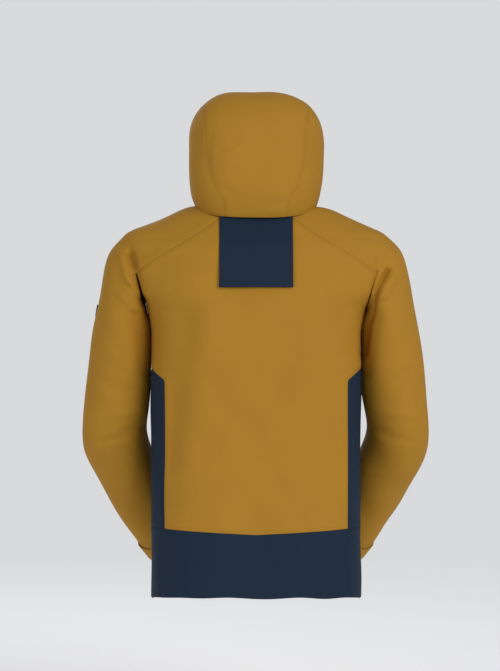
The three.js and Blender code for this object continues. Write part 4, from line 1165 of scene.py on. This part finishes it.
def shaped(context, cloth, seams=1.0):
    """A sheet with the softness and seams set in the panel."""
    cut = context.scene.jacket_cut
    return finished(cloth, cut.softness, cut.seam / MM * seams, cut.puff / MM * seams)


def handed(cloth, side):
    """The sheet for the left or for the right side."""
    return cloth if side == LEFT else cloth.mirrored()


def shoulder_blend(piece, side):
    """Works out the ends of a turn from the body to the sleeve over the first stretch outside the
    armhole, which nothing then uses, and bakes the piece's placement into its mesh.
    """
    x, height = (ARMPIT + ARMHOLE_TOP) / 2
    start, end = (spot(side * (x + across), 0, height + up) for across, up in SHOULDER_BLEND)
    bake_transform(piece)


def elbow_blend(piece, side):
    """Works out the ends of a turn from the upper sleeve to the forearm across the elbow, which
    nothing then uses, and bakes the piece's placement into its mesh.
    """
    middle = sleeve_middle(ELBOW_RING)
    down = sleeve_middle(ELBOW_RING + 1) - sleeve_middle(ELBOW_RING - 1)
    down /= np.linalg.norm(down)
    ends = [(middle + down * reach) * [side, 1, 1] for reach in (-ELBOW_REACH, ELBOW_REACH)]
    spot(*ends[0])
    spot(*ends[1])
    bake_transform(piece)


def sleeve_middle(ring):
    """The middle of the sleeve at a whole ring number."""
    row = SLEEVE_RINGS[ring]
    return np.array([(row[0] + row[2]) / 2, row[4], (row[1] + row[3]) / 2])


class JacketOperator:
    """What the operators share: they act at once and can be undone."""
    bl_options = {"REGISTER", "UNDO"}


class JACKET_OT_back(JacketOperator, bpy.types.Operator):
    """Sew the back panel"""
    bl_idname = "jacket.back"
    bl_label = "Back panel"

    def execute(self, context):
        thick = context.scene.jacket_cut.shell
        cloth = shaped(context, back_sheet())
        piece = sew(context, "back_cloth", [cloth], thick, MUSTARD, ["back_panel"])
        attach(piece, "torso")
        return {"FINISHED"}


class JACKET_OT_fronts(JacketOperator, bpy.types.Operator):
    """Sew the two front panels"""
    bl_idname = "jacket.fronts"
    bl_label = "Fronts"

    def execute(self, context):
        sheet = front_sheet()
        for side, name in SIDE_NAMES.items():
            cloth = shaped(context, handed(sheet, side))
            piece = sew(context, f"front_cloth_{name}", [cloth], context.scene.jacket_cut.shell,
                        MUSTARD, [f"front_panel_{name}"])
            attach(piece, "torso")
        return {"FINISHED"}


class JACKET_OT_sides(JacketOperator, bpy.types.Operator):
    """Sew the contrast panels round both sides"""
    bl_idname = "jacket.sides"
    bl_label = "Side panels"

    def execute(self, context):
        sheet = side_sheet()
        for side, name in SIDE_NAMES.items():
            cloth = shaped(context, handed(sheet, side))
            piece = sew(context, f"side_cloth_{name}", [cloth], context.scene.jacket_cut.shell,
                        NAVY, [f"side_panel_{name}"])
            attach(piece, "torso")
        return {"FINISHED"}


class JACKET_OT_hem(JacketOperator, bpy.types.Operator):
    """Sew the hem bands, turned in at the hem"""
    bl_idname = "jacket.hem"
    bl_label = "Hem band"

    def execute(self, context):
        slot = float(girth_at(np.array(SLOT), HEM_SEAM, FRONT))
        bands = {"hem_band_back": (-1, 1, 150), "hem_band_front_left": (1, slot, 76),
                 "hem_band_front_right": (4 - slot, 3, 76)}
        for node, (first, last, columns) in bands.items():
            cloth = shaped(context, hem_sheet(first, last, columns), 0.6)
            piece = sew(context, node.replace("band", "cloth"), [cloth],
                        context.scene.jacket_cut.shell, NAVY, [node])
            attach(piece, "torso")
        return {"FINISHED"}


class JACKET_OT_sleeves(JacketOperator, bpy.types.Operator):
    """Sew the raglan sleeves in two lengths that meet above the elbow"""
    bl_idname = "jacket.sleeves"
    bl_label = "Sleeves"

    def execute(self, context):
        thick = context.scene.jacket_cut.shell
        sheet = raglan_sleeve()
        for side, name in SIDE_NAMES.items():
            upper, lower = shaped(context, handed(sheet, side)).parted(SLEEVE_SPLIT * RING_STEP)
            piece = sew(context, f"raglan_sleeve_{name}", [upper], thick, MUSTARD,
                        [f"raglan_shoulder_{name}", f"sleeve_upper_{name}"])
            shoulder_blend(piece, side)
            piece = sew(context, f"lower_sleeve_{name}", [lower], thick, MUSTARD,
                        [f"sleeve_forearm_{name}"])
            elbow_blend(piece, side)
        return {"FINISHED"}


def ring_inward(along, around):
    """Points of the sleeve and, for each, the direction towards the middle of its ring."""
    ring = sleeve(along, around)
    middle = sleeve(along, around + math.pi) * 0.5 + ring * 0.5
    return ring, (middle - ring) / np.linalg.norm(middle - ring, axis=-1, keepdims=True)


def cuff_sheet():
    """The cuff: rings of the sleeve to its end, then round a half circle and back up inside."""
    around = all_round()
    turn = np.linspace(0, math.pi, 9)
    rows = 24
    outside = np.linspace(0, CUFF_LENGTH, rows)
    inside = CUFF_LENGTH - np.array([7, 23])
    down = np.concatenate([outside, CUFF_LENGTH + CUFF_FOLD * np.sin(turn), inside])
    inset = np.concatenate([np.zeros(rows), CUFF_FOLD - CUFF_FOLD * np.cos(turn),
                            2 * CUFF_FOLD + 0 * inside])
    first, last = CUFF_RINGS
    step = np.linalg.norm(sleeve_middle(last) - sleeve_middle(first))
    along = np.minimum(CUFF_START + down / step, last)[:, None] + 0 * around
    around = around + 0 * along
    ring, inward = ring_inward(along, around)
    sheet = Cloth.grid(ring + inward * inset[:, None, None], seams="b", closed=True)
    sheet.grain = np.stack([around * SLEEVE_TURN, along * RING_STEP], -1).reshape(-1, 2)
    return sheet


def gaiter_sheet():
    """The wrist gaiter: rings inside the cuff that draw in towards the hand."""
    around = all_round(49)
    along = np.linspace(*GAITER_RINGS, 40)[:, None] + 0 * around
    around = around + 0 * along
    ring, inward = ring_inward(along, around)
    inset = 9.4 + 3.0 * ease(along, 11.3, GAITER_RINGS[1])
    ribs = 0.5 * np.sin(around * 60)
    sheet = Cloth.grid(ring + inward * (inset + ribs)[..., None], seams="", closed=True)
    sheet.grain = np.stack([around * 60, along * RING_STEP], -1).reshape(-1, 2)
    return sheet


def sleeve_patch(rings, angles, rise, columns=30, rows=16):
    """A patch of the sleeve between two ring numbers and two angles, in fourteenths of a turn,
    standing off its surface."""
    around = np.linspace(angles[0] * FOURTEENTH, angles[1] * FOURTEENTH, columns)
    along = np.linspace(*rings, rows)[:, None] + 0 * around
    return Cloth.grid(fitted_sleeve(along, around + 0 * along)).moved(rise)


class JACKET_OT_cuffs(JacketOperator, bpy.types.Operator):
    """Sew the cuffs, the wrist gaiters inside them and the tightening tabs"""
    bl_idname = "jacket.cuffs"
    bl_label = "Cuffs"

    def execute(self, context):
        cuff, gaiter = cuff_sheet(), gaiter_sheet()
        tab = sleeve_patch(TAB_RINGS, TAB_ANGLES, 3.0)
        for side, name in SIDE_NAMES.items():
            cloth = shaped(context, handed(cuff, side), 0.5)
            piece = sew(context, f"cuff_cloth_{name}", [cloth], 0.0018, MUSTARD, [f"cuff_{name}"])
            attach(piece, f"forearm_{name}")
            piece = sew(context, f"gaiter_knit_{name}", [handed(gaiter, side)], 0.0018, KNIT,
                        [f"wrist_gaiter_{name}"])
            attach(piece, f"forearm_{name}")
            piece = sew(context, f"cuff_tab_cloth_{name}", [handed(tab, side)], 0.0022, MUSTARD,
                        [f"cuff_tab_{name}"])
            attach(piece, f"cuff_tab_{name}")
        return {"FINISHED"}


class JACKET_OT_hood(JacketOperator, bpy.types.Operator):
    """Sew the three panels of the hood and its peak"""
    bl_idname = "jacket.hood"
    bl_label = "Hood"

    def execute(self, context):
        thick = context.scene.jacket_cut.shell
        side_panel = hood_side_sheet()
        pieces = [("hood_middle_cloth", hood_middle_sheet(), "hood_centre"),
                  ("hood_side_cloth_left", side_panel, "hood_side_left"),
                  ("hood_side_cloth_right", side_panel.mirrored(), "hood_side_right"),
                  ("hood_peak_cloth", brim_sheet(), "hood_brim")]
        for name, sheet, node in pieces:
            piece = sew(context, name, [shaped(context, sheet, 0.35)], thick, MUSTARD, [node])
            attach(piece, "hood")
        return {"FINISHED"}


class JACKET_OT_collar(JacketOperator, bpy.types.Operator):
    """Sew the stand-up collar with its fleece"""
    bl_idname = "jacket.collar"
    bl_label = "Collar"

    def execute(self, context):
        thick = context.scene.jacket_cut.shell
        outer = shaped(context, collar_sheet(0, SLOT), 0.3)
        piece = sew(context, "collar_cloth", [outer], thick, MUSTARD, ["collar_outer"])
        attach(piece, "torso")
        piece = sew(context, "collar_pile", [collar_sheet(3, COLLAR_SLOT + 2)], 0.0046, FLEECE,
                    ["collar_fleece"])
        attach(piece, "torso")
        return {"FINISHED"}


def flap_sheet(lift):
    """The back flap: a patch of the back that stands off a little, more towards its loose edge and
    in the middle of it."""
    x = np.linspace(-FLAP_HALF_WIDTH, FLAP_HALF_WIDTH, 71)
    height = np.linspace(FLAP_BOTTOM, FLAP_TOP, 66)[:, None] + 0 * x
    sheet = Cloth.grid(body(girth_at(x + 0 * height, height, BACK), height), seams="lrb")
    wide = sheet.points[:, 0] / FLAP_HALF_WIDTH
    low = (FLAP_TOP - sheet.points[:, 2]) / (FLAP_TOP - FLAP_BOTTOM)
    loose = lift * low ** 2.5 * (1 - 0.55 * wide ** 2) + 0.5 * np.sin(5 * wide + 3 * low) * low
    return sheet.moved(3.2 + loose)


class JACKET_OT_flap(JacketOperator, bpy.types.Operator):
    """Sew the contrast flap that hangs below the hood"""
    bl_idname = "jacket.flap"
    bl_label = "Back flap"

    def execute(self, context):
        cut = context.scene.jacket_cut
        sheet = flap_sheet(cut.flap_lift / MM)
        piece = sew(context, "back_flap_cloth", [sheet], cut.flap, NAVY, ["back_flap"])
        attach(piece, "back_flap")
        return {"FINISHED"}


class JACKET_OT_badge(JacketOperator, bpy.types.Operator):
    """Sew the plain woven badge on the left sleeve"""
    bl_idname = "jacket.badge"
    bl_label = "Sleeve badge"

    def execute(self, context):
        patch = sleeve_patch(BADGE_RINGS, BADGE_ANGLES, 1.6, 20, 20)
        piece = sew(context, "sleeve_badge_cloth", [patch], 0.0012, NAVY, ["sleeve_badge_left"])
        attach(piece, "sleeve_left")
        return {"FINISHED"}


class JACKET_OT_lining(JacketOperator, bpy.types.Operator):
    """Sew the lining of body, hood and sleeves"""
    bl_idname = "jacket.lining"
    bl_label = "Lining"

    def execute(self, context):
        cut = context.scene.jacket_cut
        deep = -cut.loft / MM
        backs = [back_sheet(), hem_lining_sheet()]
        fronts = []
        for side in (LEFT, RIGHT):
            fronts += [handed(sheet, side) for sheet in (front_sheet(), side_sheet(), shoulder_sheet())]
        parts = (("back", backs, "body_lining"), ("front", fronts, "body_wadding"))
        for name, sheets, node in parts:
            sheets = [shaped(context, sheet).moved(deep) for sheet in sheets]
            piece = sew(context, f"body_taffeta_{name}", sheets, cut.lining, LINING, [node])
            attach(piece, "torso")
        side_panel = hood_side_sheet()
        sheets = [shaped(context, sheet).moved(deep + 0.6) for sheet in
                  (hood_middle_sheet(), side_panel, side_panel.mirrored())]
        piece = sew(context, "hood_taffeta", sheets, cut.lining, LINING, ["hood_lining"])
        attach(piece, "hood")
        for side, name in SIDE_NAMES.items():
            upper = handed(sleeve_sheet(0, SLEEVE_SPLIT, 90), side)
            upper = shaped(context, upper).moved(SLEEVE_LINING)
            piece = sew(context, f"upper_sleeve_taffeta_{name}", [upper], cut.lining, LINING,
                        [f"sleeve_upper_lining_{name}"])
            shoulder_blend(piece, side)
            lower = handed(sleeve_sheet(SLEEVE_SPLIT, LINING_END, 140), side)
            lower = shaped(context, lower).moved(SLEEVE_LINING)
            piece = sew(context, f"lower_sleeve_taffeta_{name}", [lower], cut.lining, LINING,
                        [f"sleeve_forearm_lining_{name}"])
            elbow_blend(piece, side)
        return {"FINISHED"}


def hem_lining_sheet():
    """The lowest part of the lining, from the turned-in hem up to the level of the hem seam."""
    slot = float(girth_at(np.array(SLOT), HEM_SEAM, FRONT))
    girth = np.linspace(slot - 4, slot, 240)
    height = np.linspace(20, HEM_SEAM, 26)[:, None] + 0 * girth
    return Cloth.grid(sagged(girth, height))


class JACKET_OT_inside(JacketOperator, bpy.types.Operator):
    """Sew the powder skirt, pockets and bags, storm flap, chin guard and hang loop"""
    bl_idname = "jacket.inside"
    bl_label = "Inside"

    def execute(self, context):
        across = FLAT_SHARE * (COLLAR_SLOT + 6) / FLAT
        girth = np.linspace(across - 2, 2 - across, 300)
        height = np.linspace(SKIRT_LOW, SKIRT_HIGH, 30)[:, None] + 0 * girth
        skirt = Cloth.grid(body(girth, height))
        below = ease(SKIRT_HIGH - skirt.points[:, 2], 0, 100)
        gathers = 1.4 * np.sin(skirt.grain[:, 0] / 5.5) * below
        pieces = [("powder_skirt_cloth", skirt.moved(gathers + SKIRT_DEPTH), LINING, "powder_skirt")]
        for side, name in SIDE_NAMES.items():
            bag = handed(strip_sheet(*POCKET_BAG), side).moved(POCKET_DEPTH)
            pocket = handed(strip_sheet(*INNER_POCKET), side).moved(POCKET_DEPTH)
            pieces.append((f"hand_pocket_bag_cloth_{name}", bag, FLEECE, f"hand_pocket_bag_{name}"))
            pieces.append((f"inner_pocket_cloth_{name}", pocket, LINING, f"inner_pocket_{name}"))
        for name, sheet, kind, node in pieces:
            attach(sew(context, name, [sheet], 0.0014, kind, [node]), "torso")
        guard = front_strip(16, 5, NECK - 5, -5.4)
        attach(sew(context, "storm_flap_cloth", [guard], 0.0018, NAVY, ["inner_storm_flap"]), "torso")
        chin = front_strip(16, NECK + 6, NECK + 39, -5.0)
        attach(sew(context, "chin_guard_pile", [chin], 0.002, FLEECE, ["chin_guard"]), "torso")
        loop = sew(context, "hang_loop_webbing", [loop_sheet()], 0.0012, LINING, ["hang_loop"])
        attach(loop, "torso")
        return {"FINISHED"}


def loop_sheet():
    """The hang loop: a strip that droops inside the neck seam at the back."""
    half = 30
    x = np.linspace(-half, half, 40)
    width = np.linspace(0, 1, 8)[:, None]
    droop = 8 * (1 - (x / half) ** 2)
    edge = body(girth_at(x, NECK + 0 * x, BACK), NECK + 0 * x)
    return Cloth.grid(np.stack([x + 0 * width, edge[:, 1] - 11 - 0.5 * droop + 0 * width,
                                NECK - 19 - droop - 7 * (1 - width)], -1))


def front_strip(half, low, high, rise):
    """A flat strip behind the zip, on the straight front line."""
    x = np.linspace(half, -half, 14)
    height = np.linspace(low, high, 120)[:, None] + 0 * x
    y = -(ZIP_FOOT - ZIP_LEAN * height) - rise
    return Cloth.grid(np.stack([x + 0 * height, y, height], -1))


def zip_teeth(name, side, low, high, pitch):
    """A row of moulded teeth on the straight front line. A tooth is a box with a narrowed head,
    copied up the line at the pitch; those of the two rows lie between each other."""
    count = int((high - low) / pitch)
    wide = np.array([0.15, 1.3, 2.9])
    tall = np.array([0.42, 0.30, 0.42]) * pitch * 1.1
    deep = np.array([-3.3, -1.1])
    x = np.repeat(wide, 4)
    z = np.stack([-tall, tall, tall, -tall], 1).ravel()
    y = np.tile([deep[1], deep[1], deep[0], deep[0]], 3)
    tooth = np.stack([x, -y, z], 1)
    base = np.array([[0, 1, 5, 4], [1, 2, 6, 5], [2, 3, 7, 6], [3, 0, 4, 7]])
    faces = np.concatenate([base, base + 4, [[3, 2, 1, 0]], [[8, 9, 10, 11]]])
    at = low + pitch * (np.arange(count) + (0.5 if side == RIGHT else 0.0))
    points = tooth[None] + np.zeros((count, 1, 1))
    points[..., 2] += at[:, None]
    points[..., 1] += -(ZIP_FOOT - ZIP_LEAN * points[..., 2])
    faces = faces[None] + 12 * np.arange(count)[:, None, None]
    points, faces = points.reshape(-1, 3), faces.reshape(-1, 4)
    if side == RIGHT:
        points, faces = points * [-1, 1, 1], faces[:, ::-1]
    return mesh_from(name, points, faces, points[:, [0, 2]], np.full(len(points), FREE_OF_SEAMS))


class JACKET_OT_zips(JacketOperator, bpy.types.Operator):
    """Make the teeth of the main zip and give the zips their finishes"""
    bl_idname = "jacket.zips"
    bl_label = "Zips"

    def execute(self, context):
        pitch = context.scene.jacket_cut.tooth / MM
        for side, name in SIDE_NAMES.items():
            teeth = zip_teeth(f"main_zip_row_{name}", side, 19.5, NECK + 39, pitch)
            teeth.data.materials.append(finish(context, PLASTIC))
            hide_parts(f"main_zip_teeth_{name}")
            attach(teeth, "torso")
        kinds = {"tape": TAPE, "welt": TAPE, "box": PLASTIC, "puller": PLASTIC, "slider": METAL}
        for node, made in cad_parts.items():
            word = node.split("_")[-1]
            part = "tape" if "zip_tape" in node else word
            if part in kinds and not made.hide_render:
                made.data.materials.clear()
                made.data.materials.append(finish(context, kinds[part]))
        return {"FINISHED"}


class JACKET_OT_stage(JacketOperator, bpy.types.Operator):
    """Lay the floor and set the light and the camera"""
    bl_idname = "jacket.stage"
    bl_label = "Stage"

    def execute(self, context):
        stage = context.scene.jacket_stage
        context.scene.view_settings.view_transform = "Standard"
        floor_disc(stage)
        world_light(context, stage)
        middle = (0.0, 0.0, HEM + stage.camera_height)
        soft_light(context, "key_light", (-3.4, 4.2, 1.9), middle, 3.0, stage.key)
        soft_light(context, "fill_light", (3.8, 3.4, 0.6), middle, 3.0, stage.fill)
        soft_light(context, "front_light", (1.6, -4.6, 1.6), middle, 3.0, stage.front)
        camera = bpy.data.objects.new("camera", bpy.data.cameras.new("camera"))
        context.scene.collection.objects.link(camera)
        camera.location = (CAMERA_ASIDE, stage.camera_distance, HEM + stage.camera_height)
        camera.rotation_euler = (math.radians(90), 0, math.radians(180))
        camera.data.sensor_width = SENSOR
        camera.data.lens = LENS
        camera.data.clip_end = 100
        context.scene.camera = camera
        return {"FINISHED"}


def floor_disc(stage):
    """A round floor: rings of growing radius. Its finish thins out towards the edge."""
    rings, turns = 15, 96
    radius = np.linspace(0, 4.2, rings)[:, None]
    turn = np.linspace(0, 2 * math.pi, turns, endpoint=False)
    level = -stage.drop + 0 * radius * turn
    points = np.stack([radius * np.cos(turn), radius * np.sin(turn), level], -1)
    points = points.reshape(-1, 3) / MM
    faces = grid_faces(rings, turns, closed=True)[:, ::-1]
    first, faces = weld(points, faces)
    floor = mesh_from("floor", points[first], faces, points[first][:, :2], 0 * points[first][:, 0])
    paint = Finish("floor")
    parts = paint.make("ShaderNodeSeparateXYZ", inputs={0: paint.place()})
    x, y = Value(paint, parts.outputs[0]), Value(paint, parts.outputs[1])
    reach = (x * x + y * y) ** 0.5
    paint.surface(Base_Color=(*stage.floor, 1), Roughness=0.8, Emission_Color=(*stage.floor, 1),
                  Emission_Strength=stage.glow)
    clear = paint.make("ShaderNodeBsdfTransparent")
    fade = paint.node("ShaderNodeMapRange", {"interpolation_type": "SMOOTHSTEP"},
                      {0: reach, 1: 0.7, 2: 3.9, 3: 0.0, 4: 1.0})
    blend = paint.make("ShaderNodeMixShader", inputs={0: fade})
    paint.tree.links.new(paint.shader.outputs[0], blend.inputs[1])
    paint.tree.links.new(clear.outputs[0], blend.inputs[2])
    paint.tree.links.new(blend.outputs[0], paint.output.inputs["Surface"])
    floor.data.materials.append(paint.material)


def world_light(context, stage):
    """A pale surround: as bright as the backdrop to the eye, and a softer even light on the jacket."""
    world = bpy.data.worlds.new("studio")
    world.use_nodes = True
    tree = world.node_tree
    seen, lit = tree.nodes["Background"], tree.nodes.new("ShaderNodeBackground")
    seen.inputs["Color"].default_value = (*stage.backdrop, 1)
    lit.inputs["Color"].default_value = (*stage.backdrop, 1)
    lit.inputs["Strength"].default_value = stage.ambient
    ray, either = tree.nodes.new("ShaderNodeLightPath"), tree.nodes.new("ShaderNodeMixShader")
    tree.links.new(ray.outputs["Is Camera Ray"], either.inputs[0])
    tree.links.new(lit.outputs[0], either.inputs[1])
    tree.links.new(seen.outputs[0], either.inputs[2])
    tree.links.new(either.outputs[0], tree.nodes["World Output"].inputs["Surface"])
    context.scene.world = world


def soft_light(context, name, place, target, size, power):
    """A square light of a size that faces the target."""
    lamp = bpy.data.lights.new(name, "AREA")
    lamp.size, lamp.energy = size, power
    made = bpy.data.objects.new(name, lamp)
    context.scene.collection.objects.link(made)
    made.location = place
    away = np.array(place) - np.array(target)
    flat = math.hypot(away[0], away[1])
    made.rotation_euler = (math.atan2(flat, away[2]), 0, math.atan2(away[0], -away[1]))


STEPS = ("back", "fronts", "sides", "hem", "sleeves", "cuffs", "hood", "collar", "flap", "badge",
         "lining", "inside", "zips", "stage")


class JACKET_PT_panel(bpy.types.Panel):
    """Lists the sizes, the colours and the steps"""
    bl_idname = "JACKET_PT_panel"
    bl_label = "Hooded ski jacket"
    bl_space_type = "VIEW_3D"
    bl_region_type = "UI"
    bl_category = "Jacket"

    def draw(self, context):
        scene = context.scene
        for group in (scene.jacket_cut, scene.jacket_colours, scene.jacket_stage):
            column = self.layout.box().column()
            for key in group.__annotations__:
                column.prop(group, key)
        for step in STEPS:
            self.layout.operator(f"jacket.{step}")


GROUPS = {"jacket_cut": JacketCut, "jacket_colours": JacketColours, "jacket_stage": JacketStage}
CLASSES = (
    *GROUPS.values(), JACKET_OT_back, JACKET_OT_fronts, JACKET_OT_sides, JACKET_OT_hem,
    JACKET_OT_sleeves, JACKET_OT_cuffs, JACKET_OT_hood, JACKET_OT_collar, JACKET_OT_flap,
    JACKET_OT_badge, JACKET_OT_lining, JACKET_OT_inside, JACKET_OT_zips, JACKET_OT_stage,
    JACKET_PT_panel,
)


def register():
    """Adds the classes, and the settings to the scene."""
    for made in CLASSES:
        bpy.utils.register_class(made)
    for name, group in GROUPS.items():
        setattr(bpy.types.Scene, name, PointerProperty(type=group))


def unregister():
    """Takes away what register added."""
    for name in GROUPS:
        delattr(bpy.types.Scene, name)
    for made in reversed(CLASSES):
        bpy.utils.unregister_class(made)


def main():
    """Sews the whole jacket."""
    register()
    for step in STEPS:
        getattr(bpy.ops.jacket, step)()


if __name__ == "__main__":
    main()
